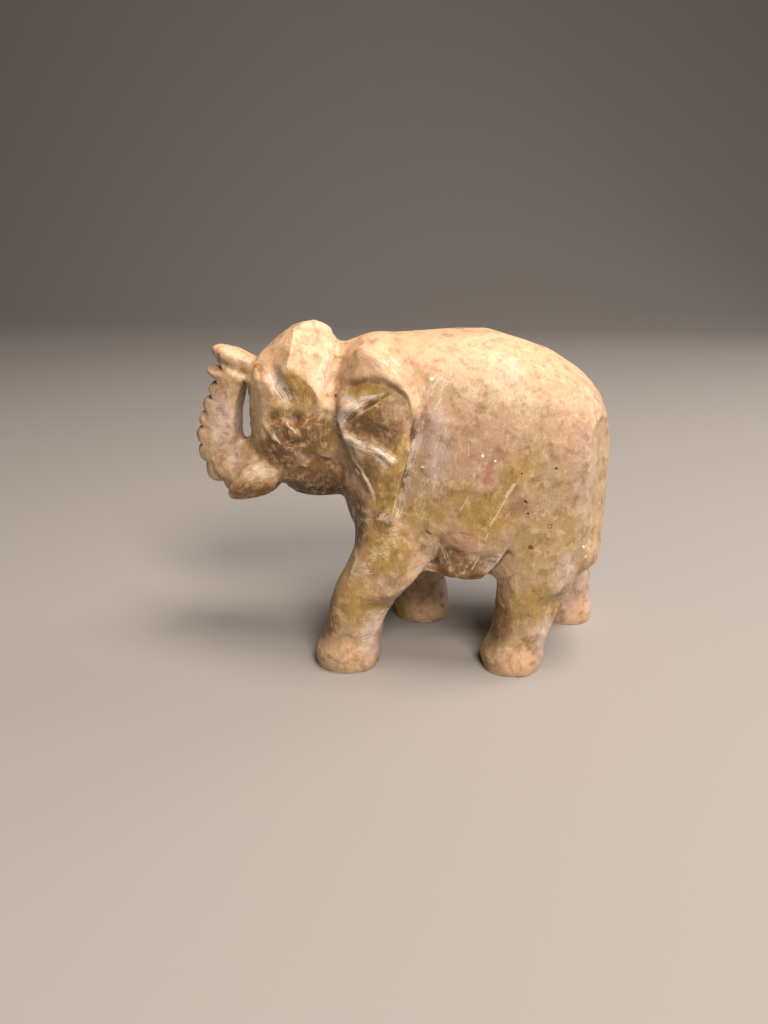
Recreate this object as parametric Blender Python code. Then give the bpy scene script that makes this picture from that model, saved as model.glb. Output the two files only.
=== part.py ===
"""A small elephant carved from one piece of soapstone, its trunk curled up to its forehead.

The figure is one solid. Its masses are lofted, fused and softened, and then cut with the strokes
of a carver: valleys, creases, rounds and flats. It faces -X, its left side is -Y, and it stands
on the soles of its four feet at Z = 0.
"""

import math

import bmesh
import bpy
import numpy as np
from mathutils import Matrix, Vector

# Driving dimension, in metres: from the foremost knob of the trunk to the hindmost foot.
LENGTH = 0.066

# All numbers below are pattern millimetres. They are shares of the figure's own length:
# the finished pattern is scaled as a whole until it is LENGTH long.

# How finely the stone is worked, and the triangles that the solid keeps.
ROUGH_GRAIN = 0.62
FINE_GRAIN = 0.42
FILLET_ROUNDS = 12
POLISH_ROUNDS = 3
SOLID_TRIANGLES = 9300
RING_POINTS = 32

# How many sections each loft is made of.
BODY_SECTIONS = 34
HEAD_SECTIONS = 28
LEG_SECTIONS = 24
TRUNK_SECTIONS = 90
TUSK_SECTIONS = 16
TAIL_SECTIONS = 24
SLIT_SECTIONS = 13

NEAR = -1.0
FAR = 1.0

# Barrel of the body from chest to rump: x, lowest z, highest z, half width.
BODY = (
    (-9.0, 27.0, 49.0, 6.0),
    (-7.6, 22.5, 50.4, 8.4),
    (-4.5, 18.0, 51.5, 10.6),
    (1.0, 15.2, 51.5, 12.2),
    (8.0, 14.3, 52.0, 13.1),
    (14.0, 14.2, 51.8, 13.4),
    (20.0, 14.8, 49.9, 13.0),
    (25.0, 15.4, 47.4, 12.2),
    (28.5, 15.8, 44.6, 10.8),
    (30.6, 16.3, 41.2, 8.8),
    (31.5, 17.5, 36.4, 6.4),
)
BODY_SQUARENESS = 2.5
BELLY_SQUARENESS = 5.0

# Head from jaw to crown: z, front x, back x, half width.
HEAD = (
    (25.6, -17.0, -8.0, 3.8),
    (27.8, -19.6, -6.0, 5.6),
    (31.5, -22.4, -4.5, 7.0),
    (36.0, -24.0, -4.0, 7.9),
    (41.0, -24.0, -4.0, 7.8),
    (45.5, -23.6, -4.5, 6.9),
    (49.0, -21.3, -7.0, 6.2),
    (51.6, -18.2, -9.6, 4.8),
    (53.1, -15.8, -12.4, 2.8),
)
HEAD_SQUARENESS = 2.4

LEG_SQUARENESS = 2.3

# Legs from hip to sole: height, x, distance from the middle plane, half length, half width.
LEGS = {
    "front_left": (
        NEAR,
        (28.0, 0.5, 6.8, 7.6, 5.2),
        (20.0, -0.2, 8.0, 6.8, 5.2),
        (14.2, -3.6, 8.8, 5.9, 4.8),
        (9.0, -6.5, 9.1, 4.8, 4.5),
        (5.0, -7.4, 9.1, 4.7, 4.5),
        (2.2, -8.1, 9.1, 5.4, 5.0),
        (-0.8, -8.1, 9.1, 4.9, 4.5),
    ),
    "hind_left": (
        NEAR,
        (30.0, 20.5, 6.2, 9.0, 6.0),
        (22.0, 21.0, 7.4, 7.4, 5.7),
        (15.5, 21.2, 8.2, 6.0, 5.2),
        (9.5, 20.1, 8.5, 4.8, 4.5),
        (5.0, 19.0, 8.6, 4.3, 4.3),
        (2.2, 18.3, 8.6, 4.9, 4.7),
        (-0.8, 18.2, 8.6, 4.4, 4.3),
    ),
    "front_right": (
        FAR,
        (28.0, 0.5, 6.8, 7.6, 5.2),
        (20.0, 1.4, 8.0, 6.2, 5.2),
        (13.0, 2.6, 8.6, 4.9, 4.7),
        (7.0, 3.3, 8.8, 4.3, 4.3),
        (2.2, 3.5, 8.4, 5.1, 4.8),
        (-0.8, 3.5, 8.4, 4.6, 4.3),
    ),
    "hind_right": (
        FAR,
        (30.0, 20.5, 6.2, 9.0, 6.0),
        (22.0, 23.2, 7.4, 7.2, 5.7),
        (15.5, 26.2, 8.2, 5.8, 5.2),
        (9.5, 28.3, 8.8, 4.9, 4.5),
        (5.0, 29.2, 9.1, 4.5, 4.3),
        (2.2, 29.6, 9.2, 4.7, 4.5),
        (-0.8, 29.6, 9.2, 4.3, 4.1),
    ),
}

# Trunk from its root in the face round the curl to the tip: x, z, half thickness, half width.
TRUNK = (
    (-19.0, 33.8, 4.6, 4.4),
    (-22.6, 30.8, 4.3, 4.1),
    (-26.2, 29.4, 3.9, 3.7),
    (-28.8, 31.2, 3.7, 3.4),
    (-29.1, 34.8, 3.6, 3.3),
    (-28.3, 38.4, 3.6, 3.1),
    (-27.2, 41.8, 3.3, 3.0),
    (-25.6, 45.4, 3.2, 2.9),
)
TRUNK_SQUARENESS = 2.4

# Knobs on the trunk's outer edge: their pitch, the depth of the notches between them, where the
# first notch lies along the trunk, how round each knob is, and where the last one ends.
KNOB_PITCH = 2.3
KNOB_DEPTH = 1.1
KNOB_START = 5.5
KNOB_ROUNDNESS = 0.8
KNOB_END = 0.995
# How quickly the notches fade towards the trunk's middle and towards its sides.
NOTCH_FADE_INWARDS = 2
NOTCH_FADE_SIDEWAYS = 6

# Lips at the trunk's tip: x, z, half length, half height, half width, droop towards the brow.
LIPS = (
    (-27.6, 45.5, 2.9, 1.4, 2.5, 0.0),
    (-25.6, 47.2, 4.3, 1.5, 2.7, 0.42),
)

# Slit between the trunk and the face: x, z, half width and half height at the middle plane,
# its lean, and how much wider it is where it opens on either side.
SLIT = (-24.8, 39.4, 0.75, 4.2, 0.12)
SLIT_FLARE = 1.9
SLIT_FLARE_UPWARDS = 0.15
SLIT_DEPTH = 7.0
SLIT_POINTEDNESS = 1.3

# Tusk from root to tip: x, distance from the middle plane, z, half height, half thickness.
TUSK = (
    (-18.6, 4.6, 30.6, 1.4, 1.5),
    (-20.4, 5.1, 30.2, 2.2, 1.8),
    (-22.6, 5.4, 29.2, 2.5, 1.7),
    (-24.8, 5.4, 27.8, 2.0, 1.4),
    (-26.3, 5.3, 26.7, 1.1, 0.9),
    (-27.0, 5.2, 26.1, 0.4, 0.4),
)
TUSK_RAKE = -0.5

# Outline of the ear seen from the side, as x and z, from the root round the top to the tip.
EAR = (
    (-8.8, 42.0),
    (-8.6, 47.0),
    (-7.6, 50.2),
    (-4.6, 50.4),
    (-1.2, 48.2),
    (1.4, 45.4),
    (2.4, 41.8),
    (1.6, 37.0),
    (0.2, 32.4),
    (-1.2, 27.4),
    (-3.4, 28.4),
    (-6.2, 34.0),
    (-8.2, 38.6),
)
EAR_REACH = 12.7
EAR_ROOT = 4.0

# How fast the ear leans in above a height, below a height and before an x.
EAR_TOP_START = 40.0
EAR_LEAN_TOP = 0.017
EAR_TIP_START = 36.0
EAR_LEAN_TIP = 0.010
EAR_ROOT_START = 1.0
EAR_LEAN_ROOT = 0.022

# Rings of the ear's rounded edge, from its root to the middle of its face: share of the outline,
# and depth under the face, where None is the root.
EAR_RINGS = ((1.0, None), (1.0, 1.2), (0.96, 0.5), (0.86, 0.1), (0.5, 0.0), (0.05, 0.0))

# Eyeballs: x, distance from the middle plane, z, and the three half axes.
EYE = (-16.8, 7.3, 36.8, 1.7, 0.9, 1.05)

# Tail, a ridge down the rump: x, z, radius.
TAIL = (
    (28.2, 43.0, 0.8),
    (30.2, 39.6, 1.0),
    (31.3, 34.0, 1.1),
    (31.6, 27.0, 1.1),
    (31.5, 20.0, 1.2),
    (30.9, 15.6, 1.3),
)
TAIL_THICKNESS = 0.2

# Strokes cut on both sides: path in x and z, width to either side of it, depth.
# A negative depth raises a ridge.
SIDE_STROKES = {
    "behind_ear": (((-3.0, 51.6), (0.2, 49.0), (2.6, 46.2), (3.9, 42.0), (3.2, 37.4), (1.4, 32.0),
                    (-0.4, 27.0)), 2.2, 1.15),
    "ear_dish": (((-5.6, 41.6), (-2.6, 41.0), (0.0, 40.2)), 4.2, 0.85),
    "ear_upper_crease": (((-9.4, 39.6), (-7.0, 41.9), (-4.8, 43.3), (-1.2, 44.6)), 1.5, 0.8),
    "ear_lower_crease": (((-9.2, 38.4), (-7.0, 37.4), (-4.6, 36.4), (-0.6, 34.4)), 1.6, 0.8),
    "ear_front": (((-9.6, 39.6), (-8.9, 37.1), (-7.1, 35.2), (-5.4, 32.8), (-3.4, 28.2)), 1.3, 0.8),
    "eye_hollow": (((-19.6, 40.4), (-17.0, 39.4), (-14.4, 38.6)), 2.0, 0.8),
    "eye_groove": (((-19.4, 37.4), (-18.0, 35.6), (-16.2, 35.2), (-14.6, 35.8)), 0.9, 0.45),
    "lower_lid": (((-20.6, 37.6), (-18.6, 34.9), (-16.6, 34.1), (-14.2, 34.6)), 0.9, -0.4),
    "brow_scoop": (((-21.4, 46.6), (-19.4, 43.8), (-17.4, 41.6)), 2.4, 0.8),
    "temple": (((-15.0, 44.6), (-12.6, 41.4), (-10.8, 38.0)), 3.0, 0.45),
    "cheek_fold": (((-14.4, 32.6), (-11.8, 31.8), (-9.2, 32.8)), 1.3, 0.5),
    "belly_front": (((6.4, 23.4), (5.8, 20.0), (4.6, 16.6), (2.2, 13.6)), 1.4, 0.7),
    "belly_hind": (((13.2, 15.0), (14.6, 17.4), (17.0, 22.0)), 1.5, 0.7),
}

# Strokes that run over the top: the same, with no side of their own.
CROSS_STROKES = {
    "neck": (((-10.2, 55.0), (-9.7, 50.0), (-10.0, 46.0), (-10.3, 41.0)), 2.2, 1.5),
}

STROKE_SAMPLES = 24
# Share of a stroke over which it fades at each end, and how much of it is left at the very end.
STROKE_FADE = 0.15
STROKE_END = 0.25
# Side strokes cut only what faces sideways and lies this far from the middle plane.
SIDE_FACING = (0.1, 0.4)
SIDE_START = 2.0

# Flats filed on the stone: a point of the plane, the way it faces, how far it reaches.
FLATS = {
    "belly": ((10.5, 0.0, 14.6), (0.0, 0.0, -1.0), 11.0),
    "front_leg_rear": ((2.6, -11.9, 16.6), (0.62, -0.50, -0.60), 6.5),
    "forehead_left": ((-15.2, -4.9, 49.6), (-0.12, -0.62, 0.78), 6.0),
    "forehead_right": ((-15.2, 4.9, 49.6), (-0.12, 0.62, 0.78), 6.0),
}
# Share of a flat's reach over which it fades out.
FLAT_FADE = 0.25

# The head and trunk, before this x, are the most worked: thinning spares them by this weight.
WORKED_BEFORE = -12.0
WORKED_THINNING = 0.6

STONE_COLOUR = (0.52, 0.40, 0.28, 1.0)
STONE_ROUGHNESS = 0.45


def spline(rows, count):
    """Rows of numbers joined by a smooth curve that passes through all of them."""
    rows = np.array(rows, dtype=float)
    ends = np.vstack((2 * rows[0] - rows[1], rows, 2 * rows[-1] - rows[-2]))
    samples = []
    for t in np.linspace(0.0, len(rows) - 1.0, count):
        i = min(int(t), len(rows) - 2)
        u = t - i
        a, b, c, d = ends[i:i + 4]
        samples.append(
            b + 0.5 * u * (c - a + u * (2 * a - 5 * b + 4 * c - d + u * (3 * b - a - 3 * c + d)))
        )
    return np.array(samples)


def ring(bm, centre, first, second, squareness=2.0, squareness_below=None):
    """A closed ring of edges round centre, spanned by two half axes."""
    verts = bmesh.ops.create_circle(bm, segments=RING_POINTS, radius=1.0)["verts"]
    for vert in verts:
        below = squareness_below and vert.co.y < 0.0
        power = 2.0 / (squareness_below if below else squareness)
        a = math.copysign(abs(vert.co.x) ** power, vert.co.x)
        b = math.copysign(abs(vert.co.y) ** power, vert.co.y)
        vert.co = Vector(centre) + a * Vector(first) + b * Vector(second)
    return verts


def loft(bm, rings):
    """Skins a row of rings and caps both ends, as one closed shell."""
    loops = [list({edge for vert in verts for edge in vert.link_edges}) for verts in rings]
    for one, other in zip(loops, loops[1:]):
        bmesh.ops.bridge_loops(bm, edges=one + other)
    for end in (loops[0], loops[-1]):
        bmesh.ops.contextual_create(bm, geom=end)


def add_body(bm):
    """The barrel of the body, section by section along x."""
    rings = []
    for x, low, high, half_width in spline(BODY, BODY_SECTIONS):
        centre = (x, 0, (low + high) / 2)
        half_height = (high - low) / 2
        across, upright = (0, half_width, 0), (0, 0, half_height)
        rings.append(ring(bm, centre, across, upright, BODY_SQUARENESS, BELLY_SQUARENESS))
    loft(bm, rings)


def add_head(bm):
    """The head, section by section up z."""
    rings = []
    for z, front, back, half_width in spline(HEAD, HEAD_SECTIONS):
        centre = ((front + back) / 2, 0, z)
        half_length = (back - front) / 2
        rings.append(ring(bm, centre, (half_length, 0, 0), (0, half_width, 0), HEAD_SQUARENESS))
    loft(bm, rings)


def add_leg(bm, side, stations):
    """One leg, from its hip to below the floor, where it is cut off later."""
    rings = []
    for z, x, y, half_length, half_width in spline(stations, LEG_SECTIONS):
        along, across = (half_length, 0, 0), (0, half_width, 0)
        rings.append(ring(bm, (x, side * y, z), along, across, LEG_SQUARENESS))
    loft(bm, rings)


def ear_reach(x, z):
    """How far the ear's face stands from the middle plane: it leans in at top, tip and root."""
    over = max(z - EAR_TOP_START, 0.0)
    under = max(EAR_TIP_START - z, 0.0)
    before = max(EAR_ROOT_START - x, 0.0)
    inward = EAR_LEAN_TOP * over ** 2 + EAR_LEAN_TIP * under ** 2 + EAR_LEAN_ROOT * before ** 2
    return EAR_REACH - inward


def add_ear(bm, side):
    """One ear in relief, as rings that shrink towards the middle of its face."""
    outline = spline(EAR + EAR[:1], RING_POINTS + 1)[:-1]
    middle = outline.mean(axis=0)
    rings = []
    for grow, sink in EAR_RINGS:
        verts = ring(bm, (0, 0, 0), (1, 0, 0), (0, 0, 1))
        for vert, point in zip(verts, outline):
            x, z = middle + (point - middle) * grow
            y = EAR_ROOT if sink is None else ear_reach(x, z) - sink
            vert.co = (x, side * y, z)
        rings.append(verts)
    loft(bm, rings)


def heading(path):
    """The direction of a path in x and z at each of its points."""
    along = np.gradient(path[:, :2], axis=0)
    return along / np.linalg.norm(along, axis=1)[:, None]


def add_trunk(bm):
    """The trunk's tube, square to its path."""
    path = spline(TRUNK, TRUNK_SECTIONS)
    rings = []
    for (x, z, thick, wide), (dx, dz) in zip(path, heading(path)):
        inward, across = (dz * thick, 0, -dx * thick), (0, wide, 0)
        rings.append(ring(bm, (x, 0, z), inward, across, TRUNK_SQUARENESS))
    loft(bm, rings)


def add_round(bm, centre, half_axes, turn=0.0):
    """An egg of stone, turned about the Y axis."""
    place = Matrix.Translation(centre) @ Matrix.Rotation(turn, 4, "Y")
    stretch = Matrix.Diagonal((*half_axes, 1.0))
    bmesh.ops.create_uvsphere(
        bm, u_segments=24, v_segments=16, radius=1.0, matrix=place @ stretch
    )


def add_tusk(bm, side):
    """One tusk, whose sections lean forwards as they rise."""
    rings = []
    for x, y, z, half_height, half_thick in spline(TUSK, TUSK_SECTIONS):
        upright = (half_height * TUSK_RAKE, 0, half_height)
        rings.append(ring(bm, (x, side * y, z), upright, (0, half_thick, 0)))
    loft(bm, rings)


def add_tail(bm):
    """The tail's ridge with its round end."""
    rings = []
    for x, z, radius in spline(TAIL, TAIL_SECTIONS):
        outward = (radius, 0, TAIL_THICKNESS * radius)
        rings.append(ring(bm, (x, 0, z), outward, (0, radius, 0)))
    loft(bm, rings)
    x, z, radius = TAIL[-1]
    add_round(bm, (x, 0, z), (radius, radius, radius))


def slit_cutter():
    """The cutter of the slit between trunk and face: a lens that flares to both sides."""
    x, z, half_width, half_height, lean = SLIT
    bm = bmesh.new()
    rings = []
    for y in np.linspace(-SLIT_DEPTH, SLIT_DEPTH, SLIT_SECTIONS):
        flare = 1.0 + (SLIT_FLARE - 1.0) * (y / SLIT_DEPTH) ** 2
        verts = ring(bm, (0, 0, 0), (1, 0, 0), (0, 0, 1))
        for vert in verts:
            up = vert.co.z
            across = math.copysign(abs(vert.co.x) ** SLIT_POINTEDNESS, vert.co.x)
            tall = up * half_height * (1 + SLIT_FLARE_UPWARDS * (flare - 1))
            vert.co = (x + across * half_width * flare + lean * tall, y, z + tall)
        rings.append(verts)
    loft(bm, rings)
    return object_of("slit cutter", bm)


def object_of(name, bm):
    """The shells of bm as one object, facing outwards."""
    bmesh.ops.recalc_face_normals(bm, faces=bm.faces)
    mesh = bpy.data.meshes.new(name)
    bm.to_mesh(mesh)
    bm.free()
    obj = bpy.data.objects.new(name, mesh)
    bpy.context.scene.collection.objects.link(obj)
    return obj


def evaluated(obj):
    """The object's mesh with its modifiers applied. The object itself is removed."""
    bpy.context.view_layer.update()
    graph = bpy.context.evaluated_depsgraph_get()
    mesh = bpy.data.meshes.new_from_object(obj.evaluated_get(graph))
    bpy.data.objects.remove(obj)
    return mesh


def fuse(bm, grain):
    """All shells of bm as one skin with faces about grain wide."""
    obj = object_of("masses", bm)
    remesh = obj.modifiers.new("fuse", "REMESH")
    remesh.mode = "VOXEL"
    remesh.voxel_size = grain
    return evaluated(obj)


def points_of(mesh):
    """The places of the mesh's points."""
    points = np.empty(len(mesh.vertices) * 3)
    mesh.vertices.foreach_get("co", points)
    return points.reshape(-1, 3)


def normals_of(mesh):
    """The normals at the mesh's points."""
    normals = np.empty(len(mesh.vertices) * 3)
    mesh.vertex_normals.foreach_get("vector", normals)
    return normals.reshape(-1, 3)


def put_points(mesh, points):
    """Moves the mesh's points to new places."""
    mesh.vertices.foreach_set("co", points.reshape(-1))
    mesh.update()


def soften(mesh, rounds):
    """Every point steps halfway towards the mean of its neighbours, again and again."""
    points = points_of(mesh)
    edges = np.empty(len(mesh.edges) * 2, dtype=np.int32)
    mesh.edges.foreach_get("vertices", edges)
    one, other = edges.reshape(-1, 2).T
    count = len(points)
    degree = np.bincount(one, minlength=count) + np.bincount(other, minlength=count)
    for _ in range(rounds):
        mean = np.empty_like(points)
        for axis in range(3):
            mean[:, axis] = np.bincount(one, points[other, axis], count)
            mean[:, axis] += np.bincount(other, points[one, axis], count)
        points += 0.5 * (mean / degree[:, None] - points)
    put_points(mesh, points)


def distance_to_path(points, path):
    """Distance of points to a path, and how far along it the nearest place lies, 0 to 1."""
    nearest = np.full(len(points), np.inf)
    where = np.zeros(len(points))
    for i, (start, end) in enumerate(zip(path, path[1:])):
        run = end - start
        t = np.clip((points - start) @ run / (run @ run), 0.0, 1.0)
        away = np.linalg.norm(points - start - t[:, None] * run, axis=1)
        closer = away < nearest
        nearest[closer] = away[closer]
        where[closer] = (i + t[closer]) / (len(path) - 1)
    return nearest, where


def stroke(points, normals, spec, side):
    """Cuts one valley, crease or ridge along its path. A side of 0 cuts all round."""
    path, width, depth = spec
    away, where = distance_to_path(points[:, ::2], spline(path, STROKE_SAMPLES))
    profile = np.clip(1.0 - (away / width) ** 2, 0.0, 1.0) ** 2
    taper = np.clip(np.minimum(where, 1.0 - where) / STROKE_FADE + STROKE_END, 0.0, 1.0)
    facing = np.ones(len(points))
    if side:
        facing = np.interp(normals[:, 1] * side, SIDE_FACING, (0.0, 1.0))
        facing *= points[:, 1] * side > SIDE_START
    points -= normals * (depth * profile * taper * facing)[:, None]


def knob(points):
    """Cuts the notches between the knobs on the outer edge of the trunk."""
    path = spline(TRUNK, TRUNK_SECTIONS)
    away, where = distance_to_path(points[:, ::2], path[:, :2])
    steps = np.linalg.norm(np.diff(path[:, :2], axis=0), axis=1)
    run = np.concatenate(((0.0,), np.cumsum(steps)))
    turns = np.interp(where, np.linspace(0.0, 1.0, len(run)), run)
    nearest = np.rint(where * (len(path) - 1)).astype(int)
    outward = heading(path)[nearest][:, ::-1] * (-1.0, 1.0)
    reach = ((points[:, ::2] - path[nearest, :2]) * outward).sum(axis=1) / path[nearest, 2]
    notch = 1.0 - np.abs(np.sin(np.pi * (turns - KNOB_START) / KNOB_PITCH)) ** KNOB_ROUNDNESS
    beside = np.abs(points[:, 1]) / path[nearest, 3]
    depth = KNOB_DEPTH * notch * np.clip(reach, 0.0, None) ** NOTCH_FADE_INWARDS
    depth *= np.clip(1.0 - beside ** NOTCH_FADE_SIDEWAYS, 0.0, 1.0)
    depth *= (turns > KNOB_START) & (where < KNOB_END)
    depth *= away < path[nearest, 2] + KNOB_PITCH
    points[:, ::2] -= outward * depth[:, None]


def flatten(points, spec):
    """Files a plane: what stands proud of it within reach comes down to it."""
    centre, facing, reach = spec
    facing = np.array(facing) / np.linalg.norm(facing)
    offset = points - np.array(centre)
    proud = np.clip(offset @ facing, 0.0, None)
    fade = np.clip((reach - np.linalg.norm(offset, axis=1)) / (FLAT_FADE * reach), 0.0, 1.0)
    points -= facing * (proud * fade)[:, None]


def carve(mesh):
    """Cuts every named stroke and flat into the softened stone."""
    points = points_of(mesh)
    for spec in FLATS.values():
        flatten(points, spec)
    knob(points)
    put_points(mesh, points)
    normals = normals_of(mesh)
    for spec in CROSS_STROKES.values():
        stroke(points, normals, spec, 0)
    for spec in SIDE_STROKES.values():
        for side in (NEAR, FAR):
            stroke(points, normals, spec, side)
    put_points(mesh, points)


def masses():
    """The stone before the strokes: two fusings, the rough one softened into broad fillets."""
    rough = bmesh.new()
    add_body(rough)
    add_head(rough)
    for side, *stations in LEGS.values():
        add_leg(rough, side, stations)
    mesh = fuse(rough, ROUGH_GRAIN)
    soften(mesh, FILLET_ROUNDS)

    fine = bmesh.new()
    fine.from_mesh(mesh)
    add_trunk(fine)
    for x, z, length, height, width, droop in LIPS:
        add_round(fine, (x, 0, z), (length, width, height), droop)
    add_tail(fine)
    for side in (NEAR, FAR):
        add_ear(fine, side)
        add_tusk(fine, side)
        x, y, z, *half_axes = EYE
        add_round(fine, (x, side * y, z), half_axes)
    stone = object_of("stone", fine)
    join = stone.modifiers.new("join", "REMESH")
    join.mode = "VOXEL"
    join.voxel_size = FINE_GRAIN
    cutter = slit_cutter()
    cut = stone.modifiers.new("slit", "BOOLEAN")
    cut.operation = "DIFFERENCE"
    cut.solver = "EXACT"
    cut.object = cutter
    join = stone.modifiers.new("join again", "REMESH")
    join.mode = "VOXEL"
    join.voxel_size = FINE_GRAIN
    mesh = evaluated(stone)
    bpy.data.objects.remove(cutter)
    soften(mesh, POLISH_ROUNDS)
    return mesh


def thin_out(mesh, triangles):
    """Keeps about so many triangles, closest where the stone is most worked."""
    obj = bpy.data.objects.new("thinning", mesh)
    bpy.context.scene.collection.objects.link(obj)
    group = obj.vertex_groups.new(name="plain")
    for vert in mesh.vertices:
        worked = vert.co.x < WORKED_BEFORE
        group.add((vert.index,), WORKED_THINNING if worked else 1.0, "REPLACE")
    total = sum(len(face.vertices) - 2 for face in mesh.polygons)
    thin = obj.modifiers.new("thin", "DECIMATE")
    thin.ratio = triangles / total
    thin.vertex_group = group.name
    thin.use_collapse_triangulate = True
    return evaluated(obj)


def stand(mesh):
    """Cuts the soles flat on the floor."""
    bm = bmesh.new()
    bm.from_mesh(mesh)
    geometry = bm.verts[:] + bm.edges[:] + bm.faces[:]
    cut = bmesh.ops.bisect_plane(
        bm, geom=geometry, plane_co=(0, 0, 0), plane_no=(0, 0, 1), clear_inner=True, dist=1e-5
    )
    rims = [item for item in cut["geom_cut"] if isinstance(item, bmesh.types.BMEdge)]
    bmesh.ops.holes_fill(bm, edges=rims)
    bmesh.ops.triangulate(bm, faces=bm.faces)
    bm.to_mesh(mesh)
    bm.free()


def place(mesh):
    """Scales the pattern to LENGTH and centres it over the origin."""
    points = points_of(mesh)
    low, high = points.min(axis=0), points.max(axis=0)
    points -= ((low[0] + high[0]) / 2, (low[1] + high[1]) / 2, low[2])
    put_points(mesh, points * (LENGTH / (high[0] - low[0])))


def soapstone():
    """The stone's plain material."""
    material = bpy.data.materials.new("soapstone")
    material.use_nodes = True
    shader = material.node_tree.nodes["Principled BSDF"]
    shader.inputs["Base Color"].default_value = STONE_COLOUR
    shader.inputs["Roughness"].default_value = STONE_ROUGHNESS
    return material


def main():
    """Clears the scene and carves the elephant."""
    for obj in list(bpy.data.objects):
        bpy.data.objects.remove(obj)
    mesh = masses()
    carve(mesh)
    mesh = thin_out(mesh, SOLID_TRIANGLES)
    stand(mesh)
    place(mesh)
    mesh.name = "elephant"
    mesh.materials.clear()
    mesh.materials.append(soapstone())
    elephant = bpy.data.objects.new("elephant", mesh)
    bpy.context.scene.collection.objects.link(elephant)


if __name__ == "__main__":
    main()
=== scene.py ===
"""A small soapstone elephant, carved from one stone with its trunk curled up to the forehead.

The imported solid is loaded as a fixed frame. One dressed piece takes its place: the same masses,
worked at a much finer grain, then cut, filed and coloured as the real carving is. All carving
sizes are pattern millimetres, and the finished pattern is fitted to the solid's own box.
"""

from __future__ import annotations

import logging
import math
from dataclasses import dataclass, field
from enum import Enum

import bmesh
import bpy
import numpy as np
from mathutils import Matrix, Vector
from mathutils.kdtree import KDTree


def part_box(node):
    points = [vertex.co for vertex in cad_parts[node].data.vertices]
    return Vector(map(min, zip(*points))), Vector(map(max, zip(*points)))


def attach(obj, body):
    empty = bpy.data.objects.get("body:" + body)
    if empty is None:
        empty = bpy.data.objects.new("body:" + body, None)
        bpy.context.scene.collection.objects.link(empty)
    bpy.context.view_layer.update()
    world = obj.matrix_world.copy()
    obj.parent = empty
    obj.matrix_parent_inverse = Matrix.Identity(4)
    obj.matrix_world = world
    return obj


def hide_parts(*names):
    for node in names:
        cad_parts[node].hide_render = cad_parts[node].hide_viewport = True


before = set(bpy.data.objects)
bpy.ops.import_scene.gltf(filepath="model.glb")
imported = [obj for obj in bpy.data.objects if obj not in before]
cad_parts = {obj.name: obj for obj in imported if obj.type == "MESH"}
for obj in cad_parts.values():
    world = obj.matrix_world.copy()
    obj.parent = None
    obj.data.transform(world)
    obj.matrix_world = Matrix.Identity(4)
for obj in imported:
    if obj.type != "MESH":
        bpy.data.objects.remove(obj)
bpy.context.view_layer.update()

log = logging.getLogger("elephant")

NODE = "elephant"
RING_POINTS = 40
EGG_POINTS = (32, 20)
POLISH_STEP = 0.5
FINE_GRAIN = 0.25

Pair = tuple[float, float]
Triple = tuple[float, float, float]


class Side(Enum):
    """Which side of the figure a cut or a colour belongs to."""

    LEFT = (-1.0,)
    RIGHT = (1.0,)
    BOTH = (-1.0, 1.0)
    ROUND = (0.0,)


class Profile(Enum):
    """The section of a cut: the power of its falloff inside and outside the bracket."""

    ROUND = (2.0, 2.0)
    VEE = (1.0, 1.3)


@dataclass(frozen=True)
class Cut:
    """One stroke of the knife or rasp, along a path in x and z.

    Attributes:
        path: Points that the stroke runs through.
        width: Reach to the right of the path, or to both sides where edge is 0.
        depth: How deep it goes. A negative depth raises a ridge.
        edge: Reach to the left of the path, where the cut leaves a step.
        side: The side of the figure that is cut.
        profile: The section of the cut.
        raw: How much pale, unpolished stone it leaves, 0 to 1.
        ends: Share of the stroke over which it fades in and out.
        taper: Share of its reach that it has lost at the end of the path.
    """

    path: tuple[Pair, ...]
    width: float
    depth: float
    edge: float = 0.0
    side: Side = Side.BOTH
    profile: Profile = Profile.ROUND
    raw: float = 0.0
    ends: float = 0.15
    taper: float = 0.0


@dataclass(frozen=True)
class Facets:
    """Small planes that the knife left: centre in x and z, half sizes, width and depth share."""

    centre: Pair
    half: Pair
    width: float
    share: float
    tilt: float = 0.05


@dataclass(frozen=True)
class Flat:
    """A plane filed on the stone: a point of it, the way it faces, and how far it reaches."""

    point: Triple
    facing: Triple
    reach: float
    raw: float = 0.0
    angle: float = 90.0


@dataclass(frozen=True)
class Soft:
    """A place rubbed smooth on both sides: centre in x and z, half sizes, polish rounds."""

    centre: Pair
    half: Pair
    rounds: int


@dataclass(frozen=True)
class Patch:
    """An oval of file marks on a side: centre in x and z, half sizes, and the marks' angle."""

    centre: Pair
    half: Pair
    angle: float
    raw: float
    side: Side = Side.BOTH
    coarse: float = 1.0


@dataclass(frozen=True)
class Cloud:
    """A soft cloud of colour: centre, half sizes, strength, and whether it has a mirror twin."""

    colour: str
    centre: Triple
    half: Triple
    strength: float
    twin: bool = False


def fade_in(value: np.ndarray, start: float, width: float) -> np.ndarray:
    """Rises from 0 at start to 1 a width further on."""
    return np.clip((value - start) / width, 0.0, 1.0)


def fade_out(value: np.ndarray, end: float, width: float) -> np.ndarray:
    """Falls from 1 a width before the end to 0 at the end."""
    return np.clip((end - value) / width, 0.0, 1.0)


def along_and_across(x: np.ndarray, z: np.ndarray, degrees: float) -> tuple[np.ndarray, ...]:
    """Measures places along and across a direction.

    Args:
        x: The places' x.
        z: The places' z.
        degrees: The direction, anticlockwise from x.

    Returns:
        How far along and how far across it each place lies.
    """
    angle = math.radians(degrees)
    along = x * math.cos(angle) + z * math.sin(angle)
    return along, z * math.cos(angle) - x * math.sin(angle)


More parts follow.
